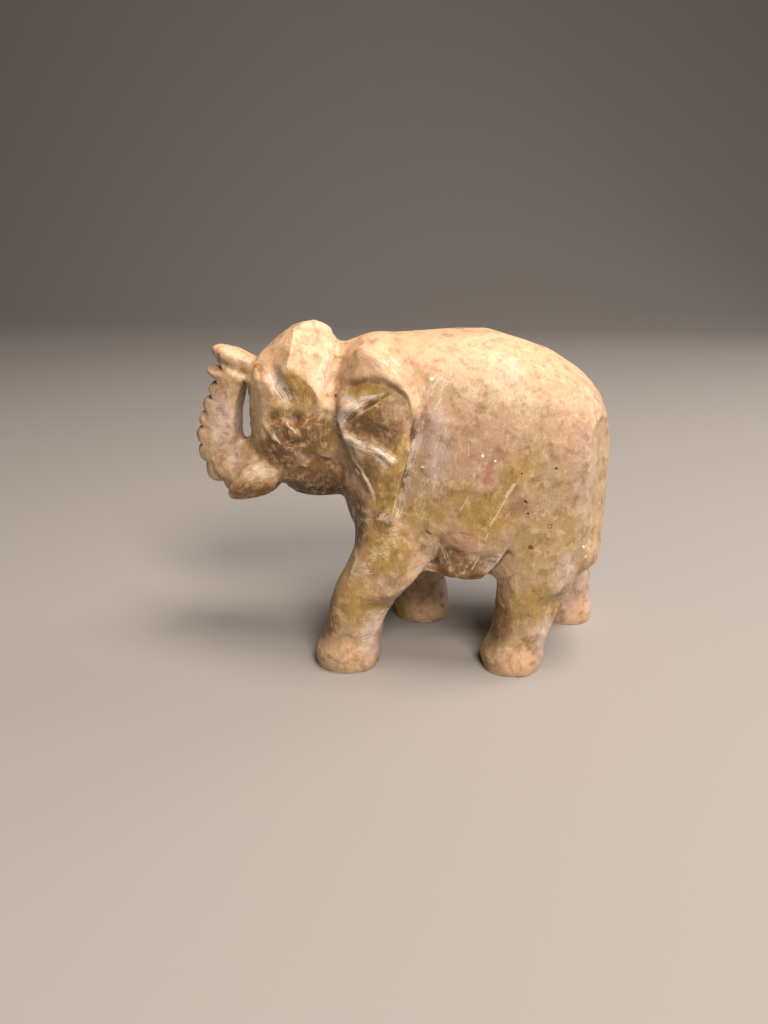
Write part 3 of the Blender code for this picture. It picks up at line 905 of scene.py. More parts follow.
@dataclass
class Eye(Part):
    """An eye on each side: a lens-shaped ball in a socket, with a ring round it."""

    x: float = -16.1
    z: float = 37.3
    reach: float = 7.3
    half_length: float = 1.75
    half_height: float = 1.2
    bulge: float = 1.3
    turn: float = math.radians(35.0)

    def add(self, bm: bmesh.types.BMesh) -> None:
        """Adds both eyeballs.

        Args:
            bm: The mesh under construction.
        """
        for side in Side.BOTH.value:
            centre = (self.x, side * self.reach, self.z)
            add_round(bm, centre, (self.half_length, self.bulge, self.half_height), self.turn)

    def around(self, grow: float, start: float, end: float) -> tuple[Pair, ...]:
        """Draws part of an ellipse round the eye.

        Args:
            grow: Distance outside the eyeball.
            start: First angle in degrees, anticlockwise from the eye's rear corner.
            end: Last angle.

        Returns:
            Its points, as x and z.
        """
        points = []
        for angle in np.radians(np.linspace(start, end, 9)):
            a = (self.half_length + grow) * math.cos(angle)
            b = (self.half_height + grow) * math.sin(angle)
            x = self.x + a * math.cos(self.turn) + b * math.sin(self.turn)
            z = self.z - a * math.sin(self.turn) + b * math.cos(self.turn)
            points.append((x, z))
        return tuple(points)

    @property
    def facets(self) -> list[Facets]:
        """The chips that roughen the ball."""
        return [Facets((self.x, self.z), (2.2, 1.9), 0.8, 0.7, 0.25)]

    @property
    def cuts(self) -> list[Cut]:
        """The socket, the ring round the ball, the lower lid and the marks inside."""
        return [
            Cut(((-20.8, 39.8), (-18.6, 40.0), (-16.4, 39.8), (-14.4, 39.2)), 1.7, 0.6),
            Cut(self.around(0.15, -170.0, 175.0), 0.45, 0.34, raw=0.1, ends=0.2),
            Cut(((-20.9, 39.0), (-19.6, 37.4), (-18.4, 36.0), (-17.6, 35.4)), 0.6, -0.36,
                profile=Profile.VEE, raw=0.9, ends=0.3),
            Cut(((-18.2, 35.9), (-16.8, 35.1), (-14.6, 35.5)), 0.4, -0.25, profile=Profile.VEE,
                raw=0.75, ends=0.3),
            Cut(((-18.0, 35.2), (-16.6, 34.6), (-15.6, 34.8)), 0.3, -0.15, raw=0.6),
            Cut(((-18.3, 37.7), (-17.3, 36.3)), 0.35, 0.35, profile=Profile.VEE, raw=0.3),
            Cut(((-17.6, 38.3), (-16.5, 36.8)), 0.3, 0.35, profile=Profile.VEE, raw=0.3),
            Cut(((-17.2, 39.1), (-15.9, 37.9)), 0.3, -0.22, profile=Profile.VEE, raw=0.7),
            Cut(((-16.3, 38.4), (-15.2, 37.3)), 0.3, -0.22, profile=Profile.VEE, raw=0.7),
            Cut(((-15.2, 38.4), (-14.4, 37.8)), 0.3, -0.2, raw=0.6),
        ]


@dataclass
class Ear(Part):
    """A shield-shaped ear in relief on each side, seen from the side as x and z.

    Its face leans inwards above its top and below its tip, and before front_x towards its root.
    """

    outline: tuple = (
        (-9.2, 41.0),
        (-8.9, 46.4),
        (-7.4, 49.8),
        (-4.2, 50.2),
        (-1.0, 48.2),
        (1.4, 45.2),
        (2.6, 41.5),
        (2.2, 38.0),
        (1.0, 33.6),
        (-0.6, 28.4),
        (-3.4, 27.6),
        (-6.8, 34.0),
        (-8.8, 39.0),
    )
    reach: float = 12.8
    root: float = 4.0
    top: float = 40.0
    tip: float = 36.0
    front_from: float = 42.0
    front_over: float = 5.0
    front_x: float = 1.0
    lean_top: float = 0.018
    lean_tip: float = 0.010
    lean_root: float = 0.024
    lean_front: float = 0.030
    layers: tuple = ((1.0, None), (1.0, 0.9), (0.98, 0.35), (0.92, 0.05), (0.5, 0.0), (0.05, 0.0))
    front: Soft = Soft((-9.4, 47.2), (2.6, 6.4), 70)

    def face(self, x: float, z: float) -> float:
        """Measures how far the ear's face stands from the middle plane.

        Args:
            x: The place's x.
            z: The place's z.

        Returns:
            The distance at that place.
        """
        over = max(z - self.top, 0.0)
        under = max(self.tip - z, 0.0)
        inward = self.lean_top * over ** 2 + self.lean_tip * under ** 2
        upper = min(max((z - self.front_from) / self.front_over, 0.0), 1.0)
        front = self.lean_root + self.lean_front * upper
        return self.reach - inward - front * max(self.front_x - x, 0.0) ** 2

    def add(self, bm: bmesh.types.BMesh) -> None:
        """Adds both ears as rings, each with its growth and its depth below the face.

        Args:
            bm: The mesh under construction.
        """
        outline = spline(self.outline + self.outline[:1], RING_POINTS + 1)[:-1]
        middle = outline.mean(axis=0)
        for side in Side.BOTH.value:
            rings = []
            for grow, sink in self.layers:
                verts = ring(bm, (0, 0, 0), (1, 0, 0), (0, 0, 1))
                for vert, point in zip(verts, outline):
                    x, z = middle + (point - middle) * grow
                    y = self.root if sink is None else self.face(x, z) - sink
                    vert.co = (x, side * y, z)
                rings.append(verts)
            loft(bm, rings)

    # The knife planes of the ear's face.
    facets = (Facets((-2.6, 38), (6.6, 13), 2, 0.6, 0.08),)

    # The step behind the ear, the dish inside its rim, and its creases.
    cuts = (
        Cut(((-0.6, 24.6), (0, 28), (1.3, 33.4), (2.4, 38), (2.9, 41.6)), 2.5, 0.95, edge=0.45,
            raw=0.62, ends=0.2),
        Cut(((2.9, 40), (3.2, 42.4), (2.2, 45.4), (-0.2, 48.4), (-3.6, 51)), 2.2, 0.42, edge=1.1,
            raw=0.4, ends=0.2),
        Cut(((1.7, 36.6), (2.1, 40), (1.5, 42.8), (0.2, 44.4), (-2.4, 45.6), (-4.8, 45.7),
            (-8.6, 44.6)), 0.8, 0.80, edge=4.2, ends=0.12),
        Cut(((-9.8, 38.6), (-8.4, 39.6), (-6.2, 41.3), (-4, 42.7), (-1, 44.5)), 0.45, 0.75,
            edge=2.6, profile=Profile.VEE, taper=0.7, ends=0.08),
        Cut(((-9.6, 39.6), (-7.8, 41.2), (-5.6, 42.8), (-1.4, 44.6)), 1.5, 0, raw=1, taper=0.85),
        Cut(((-8.6, 42.9), (-7.4, 43.2), (-6, 43.2)), 0.7, 0.35, profile=Profile.VEE, raw=0.9),
        Cut(((-9.4, 38.8), (-7, 38.6), (-4.8, 38.2), (-2.4, 37.2), (0, 35.4)), 1.2, 0.95, edge=3.2,
            ends=0.12),
        Cut(((-9.3, 37.9), (-7, 37.3), (-4.8, 36.5), (-2.4, 35.8), (0.1, 34.3)), 0.85, -0.2,
            raw=0.88, ends=0.1),
        Cut(((-3.4, 35.4), (-2.2, 34.4), (-1.4, 33.4)), 0.5, 0, raw=0.9),
        Cut(((-9.8, 39.6), (-8.9, 37.1), (-7.2, 35.2), (-5.5, 32.8), (-4.1, 30.4), (-3.3, 27.8)),
            0.45, 0.45, profile=Profile.VEE, raw=1, ends=0.08),
        Cut(((-6.4, 33.4), (-5, 31.2), (-4.2, 29.2)), 0.6, 0.3, edge=2.2),
        Cut(((-2.6, 31.6), (-1.9, 29), (-1.5, 27)), 1.4, 0.3),
    )

    # The file marks of the rim, the dish and the valley behind; those on the top of the rim are
    # laid whiter as a painted highlight.
    patches = (
        Patch((2.4, 36.8), (5.6, 0.9), 74, 0.85),
        Patch((0.6, 29), (5, 1), 76, 0.78),
        Patch((3.6, 44), (3.6, 1), 112, 0.7),
        Patch((1.6, 47.2), (3.4, 1.2), 132, 0.6),
        # Laid whiter as a painted highlight on the top of the rim.
        Patch((-2.4, 48.4), (4.4, 1.6), 150, 0.70),
        Patch((-9, 39.2), (1.5, 1), 60, 0.95),
        Patch((-0.6, 38.6), (1.7, 1.2), 140, 0.5),
        Patch((-1.6, 41), (1.6, 0.8), 120, 0.45),
        Patch((-5.8, 33), (1.6, 0.7), 125, 0.4),
    )

    # The colours of the ear: cream on its rim, brown in its dish, olive below; the cream on the
    # top of the rim is strengthened as a painted highlight.
    clouds = (
        Cloud("cream", (-2, 9.5, 49.6), (9, 8, 4.4), 1, True),
        Cloud("cream", (2.6, 11, 44), (2, 6, 4.4), 0.9, True),
        # Painted highlight on the top of the rim, over its own cream.
        Cloud("cream", (-2.4, 10.5, 47.8), (5, 5, 2.8), 1, True),
        Cloud("brown", (-3.6, 12, 40), (5.4, 5, 5.4), 1, True),
        Cloud("brown", (-4.6, 11, 33.6), (4.6, 5, 5.6), 0.55, True),
        Cloud("olive", (0.2, 12, 35), (2.4, 5, 5.6), 1, True),
        Cloud("olive", (-2, 12, 29.5), (3.4, 5, 5.4), 1, True),
        Cloud("olive", (-5, 11, 44.4), (5, 5, 2), 1, True),
        Cloud("cream", (-8, 7, 47.6), (3, 6, 3.4), 0.9, True),
    )


@dataclass
class Trunk(Part):
    """The trunk: out of the face, down, round and up again, with knobs on its outer edge."""

    rings: tuple = (
        (-19.0, 33.8, 4.6, 4.4),
        (-22.6, 30.8, 4.3, 4.1),
        (-26.2, 29.4, 3.9, 3.7),
        (-28.8, 31.2, 3.8, 3.4),
        (-29.2, 34.8, 3.8, 3.3),
        (-28.5, 38.4, 3.7, 3.1),
        (-27.3, 41.8, 3.3, 3.0),
        (-25.6, 45.4, 3.2, 2.9),
    )
    lips: tuple = (
        (-27.9, 44.9, 2.9, 1.7, 2.6, 0.20),
        (-25.7, 47.2, 4.4, 1.6, 2.8, 0.42),
    )
    samples: int = 120
    squareness: float = 2.5
    knob_pitch: float = 2.3
    knob_depth: float = 1.35
    knob_start: float = 5.5
    knob_end: float = 0.995
    knob_sharpness: float = 0.5
    knob_reach: float = 1.6
    knob_edge_power: float = 2.5
    knob_side: float = 0.45
    knob_side_from: float = 0.15
    knob_side_power: float = 1.5
    knob_margin: float = 1.15
    slit_place: Pair = (-24.8, 39.6)
    slit_half: Pair = (0.95, 5.1)
    slit_lean: float = 0.12
    slit_depth: float = 7.0
    slit_samples: int = 15
    slit_flare: float = 1.9
    slit_narrowing: float = 0.50
    slit_sharpness: float = 1.3
    slit_growth: float = 0.15
    slit_drift: float = 0.35

    def path(self) -> np.ndarray:
        """Returns the trunk's path: x, z, half thickness and half width."""
        return spline(self.rings, self.samples)

    def headings(self) -> np.ndarray:
        """Returns the direction of the path in x and z at each of its samples."""
        along = np.gradient(self.path()[:, :2], axis=0)
        return along / np.linalg.norm(along, axis=1)[:, None]

    def add(self, bm: bmesh.types.BMesh) -> None:
        """Adds the tube and the two lips at its tip.

        Args:
            bm: The mesh under construction.
        """
        rings = []
        for (x, z, thick, wide), (dx, dz) in zip(self.path(), self.headings()):
            through, across = (dz * thick, 0, -dx * thick), (0, wide, 0)
            rings.append(ring(bm, (x, 0, z), through, across, self.squareness))
        loft(bm, rings)
        for x, z, length, height, width, droop in self.lips:
            add_round(bm, (x, 0, z), (length, width, height), droop)

    def notch(self, stone: Stone) -> None:
        """Cuts the notches between the knobs on the outer edge.

        Args:
            stone: The stone to cut.
        """
        path = self.path()
        flat = stone.points[:, ::2]
        _, share, run = stone.along_path(flat, path[:, :2])
        nearest = np.rint(share * (len(path) - 1)).astype(int)
        outward = self.headings()[nearest][:, ::-1] * (-1.0, 1.0)
        offset = flat - path[nearest, :2]
        reach = (offset * outward).sum(axis=1) / path[nearest, 2]
        beside = np.abs(stone.points[:, 1]) / path[nearest, 3]
        phase = np.pi * (run - self.knob_start) / self.knob_pitch
        depth = self.knob_depth * (1.0 - np.abs(np.sin(phase)) ** self.knob_sharpness)
        close = np.linalg.norm(offset, axis=1) < self.knob_reach * path[nearest, 2]
        depth *= close & (run > self.knob_start) & (share < self.knob_end)
        on_edge = np.clip(reach, 0.0, self.knob_margin) ** self.knob_edge_power
        on_edge *= np.clip(1.0 - beside ** 6, 0.0, 1.0)
        stone.points[:, ::2] -= outward * (depth * on_edge)[:, None]
        on_side = fade_in(reach, self.knob_side_from, 1.0 - self.knob_side_from)
        on_side **= self.knob_side_power
        on_side *= (np.abs(stone.points[:, 1]) < self.knob_margin * path[nearest, 3])
        sideways = np.abs(stone.normals[:, 1])
        depth = self.knob_side * depth * on_side * sideways
        stone.points -= stone.normals * depth[:, None]

    def slit_cutter(self) -> bpy.types.Object:
        """Makes the cutter of the slit between trunk and face, widest low down.

        Returns:
            The cutter, as a closed shell.
        """
        x, z = self.slit_place
        half_width, half_height = self.slit_half
        bm = bmesh.new()
        rings = []
        for y in np.linspace(-self.slit_depth, self.slit_depth, self.slit_samples):
            flare = 1.0 + (self.slit_flare - 1.0) * (y / self.slit_depth) ** 2
            verts = ring(bm, (0, 0, 0), (1, 0, 0), (0, 0, 1))
            for vert in verts:
                tall = vert.co.z * half_height * (1 + self.slit_growth * (flare - 1))
                across = math.copysign(abs(vert.co.x) ** self.slit_sharpness, vert.co.x)
                across *= 1.0 - self.slit_narrowing * vert.co.z
                sideways = across * half_width * flare - self.slit_drift * (flare - 1)
                vert.co = (x + sideways + self.slit_lean * tall, y, z + tall)
            rings.append(verts)
        loft(bm, rings)
        return object_of("slit cutter", bm)

    # The knife planes along the trunk.
    facets = (Facets((-27.5, 37), (6.5, 13), 1.6, 0.7, 0.10),)

    # The edges of the trunk's side, and the nostril.
    cuts = (
        Cut(((-30.4, 31.4), (-29.6, 29.2), (-27.4, 27.6), (-25, 27.2)), 1.6, 0.3, edge=0.5),
        Cut(((-25.4, 35.6), (-26.2, 33.6), (-26.4, 31.6)), 1, 0.45, edge=0.8, raw=0.3),
        Cut(((-28.6, 46.8), (-26.8, 46.6)), 0.5, 0.4, profile=Profile.VEE),
        Cut(((-28.6, 48), (-28, 47.8)), 0.6, 0.35),
    )

    # The file marks on the trunk's flat sides.
    patches = (
        Patch((-28.2, 37), (2.2, 7.6), 4, 0.50),
        Patch((-26.6, 31.6), (2.4, 2.4), 35, 0.45),
        Patch((-26.4, 44), (3, 2), 80, 0.42),
        Patch((-21.8, 34), (3.4, 1.2), 52, 0.42),
    )

    # The colours of the trunk: greyish sides, orange tip, brown underside.
    clouds = (
        Cloud("cream", (-25, 0, 49.5), (6, 5, 2.6), 0.9),
        Cloud("cream", (-31.6, 0, 38), (2, 5, 9), 0.55),
        Cloud("lilac", (-28, 0, 37.5), (4, 6, 8.5), 1),
        Cloud("lilac", (-26.6, 0, 31.6), (3.4, 6, 3), 0.9),
        Cloud("brown", (-28.8, 0, 48.2), (1.8, 4, 1.5), 0.65),
        Cloud("brown", (-30, 0, 29), (4, 5, 3), 0.5),
        Cloud("brown", (-26, 0, 25.6), (7, 6, 3.4), 0.8),
        Cloud("olive", (-22.4, 0, 34.6), (3, 6, 4), 0.8),
        Cloud("brown", (-21.6, 0, 33.6), (2.2, 6, 2), 0.9),
    )


@dataclass
class Tusk(Part):
    """A short leaf-shaped tusk on each side of the trunk, with a keel along its face."""

    rings: tuple = (
        (-18.0, 4.4, 30.5, 1.2, 1.4),
        (-19.6, 5.0, 30.3, 2.0, 1.8),
        (-22.2, 5.4, 29.3, 2.6, 1.9),
        (-24.6, 5.4, 28.2, 2.1, 1.6),
        (-26.2, 5.3, 27.1, 1.3, 1.1),
        (-27.5, 5.2, 26.2, 0.3, 0.35),
    )
    samples: int = 20
    keel: float = 1.45
    slant: float = -0.5

    def add(self, bm: bmesh.types.BMesh) -> None:
        """Adds both tusks: x, distance from the middle, z, half height, half thickness.

        Args:
            bm: The mesh under construction.
        """
        for side in Side.BOTH.value:
            rings = []
            for x, y, z, half_height, half_thick in spline(self.rings, self.samples):
                upright = (half_height * self.slant, 0, half_height)
                rings.append(ring(bm, (x, side * y, z), upright, (0, half_thick, 0), self.keel))
            loft(bm, rings)

    # The knife planes of the tusks.
    facets = (Facets((-22.4, 29.4), (5.6, 4.2), 1.5, 0.6, 0.10),)

    # The notch at the tusk's root.
    cuts = (
        Cut(((-17.6, 33), (-18, 30.6), (-18.6, 28.2), (-20, 26.6)), 0.8, 0.5, profile=Profile.VEE,
            raw=0.2),
    )

    # The file marks on the tusks.
    patches = (
        Patch((-22.4, 30.9), (3.2, 1.1), 30, 0.78),
        Patch((-19.6, 28.6), (1.6, 0.9), 50, 0.4),
    )

    # The colours of the tusks: pale above, orange brown below.
    clouds = (
        Cloud("cream", (-22.6, 5.4, 31.6), (4.4, 3, 1.7), 1, True),
        Cloud("olive", (-22.2, 6.9, 28.2), (4.4, 3, 2.2), 0.9, True),
        Cloud("brown", (-25.6, 5.5, 27), (2.4, 3, 1.6), 0.7, True),
        Cloud("brown", (-22.6, 6.6, 27.6), (5, 3.6, 2.4), 1, True),
    )


@dataclass
class Leg:
    """One leg: height, x, distance from the middle plane, half length and half width."""

    name: str
    side: float
    rings: tuple
    squareness: float = 2.3
    samples: int = 28

    def add(self, bm: bmesh.types.BMesh) -> None:
        """Adds the leg from its hip to below the floor, where it is cut off later.

        Args:
            bm: The mesh under construction.
        """
        rings = []
        for z, x, y, half_length, half_width in spline(self.rings, self.samples):
            centre = (x, self.side * y, z)
            along, across = (half_length, 0, 0), (0, half_width, 0)
            rings.append(ring(bm, centre, along, across, self.squareness))
        loft(bm, rings)

    @property
    def clouds(self) -> list[Cloud]:
        """The colours of the leg: olive shin, brown front, paler rose foot, and lilac on the
        foot's rear that is partly a painted sheen.
        """
        _, foot_x, foot_y, _, _ = self.rings[-1]
        shin_z, shin_x, shin_y, _, _ = self.rings[-4]
        y = self.side * foot_y
        return [
            Cloud("olive", (shin_x, self.side * shin_y, shin_z + 3.0), (6.5, 8.0, 6.5), 1.0),
            Cloud("rose", (foot_x + 0.6, y, 4.4), (5.0, 7.0, 4.4), 0.6),
            # Lilac on the foot's rear: partly the stone's tone, partly a painted pale sheen.
            Cloud("lilac", (foot_x + 4.0, y, 6.0), (3.4, 7.0, 6.4), 1.0),
            Cloud("brown", (shin_x - 3.6, self.side * shin_y, shin_z - 1.0), (3.4, 6.0, 6.5), 1.0),
            Cloud("olive", (foot_x - 3.6, y, 1.8), (3.6, 5.0, 2.8), 1.0),
            Cloud("cream", (foot_x + 1.0, y, 2.4), (5.6, 8.0, 4.8), 1.0),
        ]


@dataclass
class Legs(Part):
    """Four legs in mid stride: the left pair ahead, the right pair behind."""

    members: tuple[Leg, ...] = (
        Leg("front_left", -1.0, (
            (28.0, 0.5, 6.8, 7.6, 5.2),
            (20.0, -0.2, 8.0, 6.8, 5.3),
            (14.2, -3.6, 8.8, 5.9, 4.9),
            (9.0, -6.5, 9.1, 4.8, 4.5),
            (5.0, -7.4, 9.1, 4.7, 4.5),
            (2.2, -8.1, 9.1, 5.4, 5.0),
            (-0.8, -8.1, 9.1, 4.9, 4.5),
        )),
        Leg("hind_left", -1.0, (
            (30.0, 20.5, 6.2, 9.0, 6.0),
            (22.0, 21.0, 7.4, 7.4, 5.7),
            (15.5, 21.2, 8.2, 6.0, 5.2),
            (9.5, 20.1, 8.5, 4.8, 4.5),
            (5.0, 19.0, 8.6, 4.4, 4.3),
            (2.2, 18.3, 8.6, 5.0, 4.7),
            (-0.8, 18.2, 8.6, 4.5, 4.3),
        )),
        Leg("front_right", 1.0, (
            (28.0, 0.5, 6.8, 7.6, 5.2),
            (20.0, 1.4, 8.0, 6.2, 5.2),
            (13.0, 2.6, 8.6, 4.9, 4.7),
            (7.0, 3.3, 8.8, 4.3, 4.3),
            (2.2, 3.5, 8.4, 5.1, 4.8),
            (-0.8, 3.5, 8.4, 4.6, 4.3),
        )),
        Leg("hind_right", 1.0, (
            (30.0, 20.5, 6.2, 9.0, 6.0),
            (22.0, 23.2, 7.4, 7.2, 5.7),
            (15.5, 26.2, 8.2, 5.8, 5.2),
            (9.5, 28.3, 8.8, 4.9, 4.5),
            (5.0, 29.2, 9.1, 4.5, 4.3),
            (2.2, 29.6, 9.2, 4.7, 4.5),
            (-0.8, 29.6, 9.2, 4.3, 4.1),
        )),
    )

    rubbed: tuple[Soft, ...] = (
        Soft((-3.4, 11.8), (4.2, 2.2), 30),
        Soft((22.8, 14.4), (4.6, 2.6), 30),
    )

    def add(self, bm: bmesh.types.BMesh) -> None:
        """Adds all four."""
        for leg in self.members:
            leg.add(bm)

    # The planes filed on the legs.
    flats = (
        Flat((-4.2, -12.4, 6), (0.66, -0.75, 0.05), 7.5, raw=0.6, angle=4),
        Flat((2.6, -12, 17.6), (0.50, -0.86, -0.10), 4.6, raw=0.4, angle=80),
        Flat((22.6, -11.8, 8), (0.66, -0.75, 0.05), 7, raw=0.5, angle=20),
    )

    # The knife planes of all the legs.
    facets = (Facets((10, 10), (26, 15), 2.6, 0.6, 0.06),)

    # The creases at the knee.
    cuts = (
        Cut(((-0.2, 11.4), (-1.6, 11.8), (-2.6, 12.6)), 0.5, 0.35, side=Side.LEFT,
            profile=Profile.VEE, raw=0.5),
    )

    # The file marks on the legs and feet that the photograph shows.
    patches = (
        Patch((-0.7, 23.6), (2.2, 1.4), 12, 0.66, Side.LEFT, 1.3),
        Patch((-0.6, 21.9), (2.6, 1), -14, 0.62, Side.LEFT, 1.2),
        Patch((-3, 20.4), (2.6, 1.5), 22, 0.62, Side.LEFT, 1.3),
        Patch((-5.4, 17.6), (2.6, 1.8), 6, 0.60, Side.LEFT, 1.2),
        Patch((-1.8, 25.8), (1, 1.4), 75, 0.80, Side.LEFT),
        Patch((4.6, 20.4), (3, 0.9), 80, 0.80, Side.LEFT),
        Patch((3.4, 17.4), (2.6, 0.9), 62, 0.78, Side.LEFT),
        Patch((0.6, 14), (2.4, 0.8), 56, 0.55, Side.LEFT),
        Patch((-3.8, 7), (2.4, 3.8), 6, 0.72, Side.LEFT),
        Patch((-8.4, 3.6), (3, 1.6), 12, 0.45, Side.LEFT),
        Patch((-8.8, 10.6), (1.6, 0.9), 20, 0.4, Side.LEFT),
        Patch((22.4, 6.6), (1.8, 3.4), 25, 0.6, Side.LEFT),
        Patch((26, 14.4), (3.6, 1), 66, 0.5, Side.LEFT),
        Patch((18, 2.2), (2.6, 1.2), 8, 0.4, Side.LEFT),
        Patch((2.6, 18), (3.4, 2.2), 80, 0.55, Side.RIGHT),
        Patch((27, 9), (4, 1.8), 70, 0.5, Side.RIGHT),
    )

    @property
    def clouds(self) -> list[Cloud]:
        """The colours of all legs, and of the chest between them, where brown and umber are
        painted shade.
        """
        clouds = [
            # Painted shade on the chest between the front legs.
            Cloud("brown", (-7.0, 0.0, 20.0), (5.0, 11.0, 8.0), 1.0),
            Cloud("brown", (-6.4, -7.0, 26.0), (3.6, 8.0, 6.0), 1.0),
            Cloud("painted_shade", (-6.6, -8.6, 24.0), (3.6, 8.0, 7.0), 1.0),
            Cloud("cream", (3.4, -12.0, 18.0), (2.6, 5.0, 5.0), 0.8),
            Cloud("lilac", (28.6, 9.0, 8.0), (6.0, 8.0, 12.0), 1.0),
            Cloud("olive", (-1.6, -12.0, 21.0), (5.0, 6.0, 6.0), 1.0),
            Cloud("brown", (-2.6, -12.0, 25.4), (2.6, 5.0, 3.0), 0.7),
            Cloud("brown", (-3.6, -12.0, 17.2), (2.2, 5.0, 2.0), 0.55),
        ]
        for leg in self.members:
            clouds += leg.clouds
        return clouds


@dataclass
class Tail:
    """The tail, a ridge down the rump: x, z, radius."""

    rings: tuple = (
        (28.2, 43.0, 0.8),
        (30.2, 39.6, 1.0),
        (31.3, 34.0, 1.1),
        (31.6, 27.0, 1.1),
        (31.5, 20.0, 1.2),
        (30.9, 15.6, 1.3),
    )
    samples: int = 28
    flatness: float = 0.2

    def add(self, bm: bmesh.types.BMesh) -> None:
        """Adds the ridge with its round end.

        Args:
            bm: The mesh under construction.
        """
        rings = []
        for x, z, radius in spline(self.rings, self.samples):
            along = (radius, 0, self.flatness * radius)
            rings.append(ring(bm, (x, 0, z), along, (0, radius, 0)))
        loft(bm, rings)
        x, z, radius = self.rings[-1]
        add_round(bm, (x, 0, z), (radius, radius, radius))


def linear(hex_colour: str) -> tuple[float, float, float, float]:
    """Turns an sRGB hex colour into a linear one with full alpha.

    Args:
        hex_colour: The colour, as #rrggbb.

    Returns:
        Linear red, green, blue and alpha.
    """
    channels = (int(hex_colour[i:i + 2], 16) / 255.0 for i in (1, 3, 5))
    curved = (c / 12.92 if c <= 0.04045 else ((c + 0.055) / 1.055) ** 2.4 for c in channels)
    return (*curved, 1.0)


class Graph:
    """The node tree of one material or group, with one short way to grow it."""

    def __init__(self, tree: bpy.types.NodeTree) -> None:
        """Takes a tree in hand."""
        self.tree = tree

    def add(self, kind: str, inputs: dict | None = None, output: str | int | None = 0,
            **settings) -> bpy.types.NodeSocket | bpy.types.Node:
        """Adds a node with its settings and links.

        Args:
            kind: The node's type without its prefix, with its operation after a dot.
            inputs: Values or output sockets, by the input's name or number.
            output: Which output to return, or None for the node itself.
            settings: Values of the node's own properties.

        Returns:
            The chosen output.
        """
        name, _, operation = kind.partition(".")
        node = self.tree.nodes.new(f"ShaderNode{name}")
        if operation:
            node.operation = operation
        for key, value in settings.items():
            setattr(node, key, value)
        for key, value in (inputs or {}).items():
            if isinstance(value, bpy.types.NodeSocket):
                self.tree.links.new(value, node.inputs[key])
            else:
                node.inputs[key].default_value = value
        if output is None:
            return node
        if name == "VectorMath" and operation in ("DOT_PRODUCT", "DISTANCE"):
            output = "Value"
        return node.outputs[output]


@dataclass(frozen=True)
class Mark:
    """A pit, fleck or scratch on the left side: kind, radius, and its ends in x and z."""

    kind: str
    radius: float
    start: Pair
    end: Pair | None = None


@dataclass(frozen=True)
class Pattern:
    """A noise in the stone: its size in mm along x, y and z, and how it is broken up."""

    size: Triple
    detail: float = 3.0
    rough: float = 0.6
    warp: float = 0.0
    turn: float = 0.0


@dataclass(frozen=True)
class Layer:
    """One colour laid over those before it.

    Attributes:
        look: Which look of the surface it follows, or an empty name for the whole stone.
        pattern: The noise that breaks it up.
        by: How strongly the noise does so.
        start: Value of look plus noise at which the colour begins.
        full: Value at which it is at its strongest.
        strength: How much it covers there.
        colour: The colour.
    """

    look: str
    pattern: str
    by: float
    start: float
    full: float
    strength: float
    colour: str


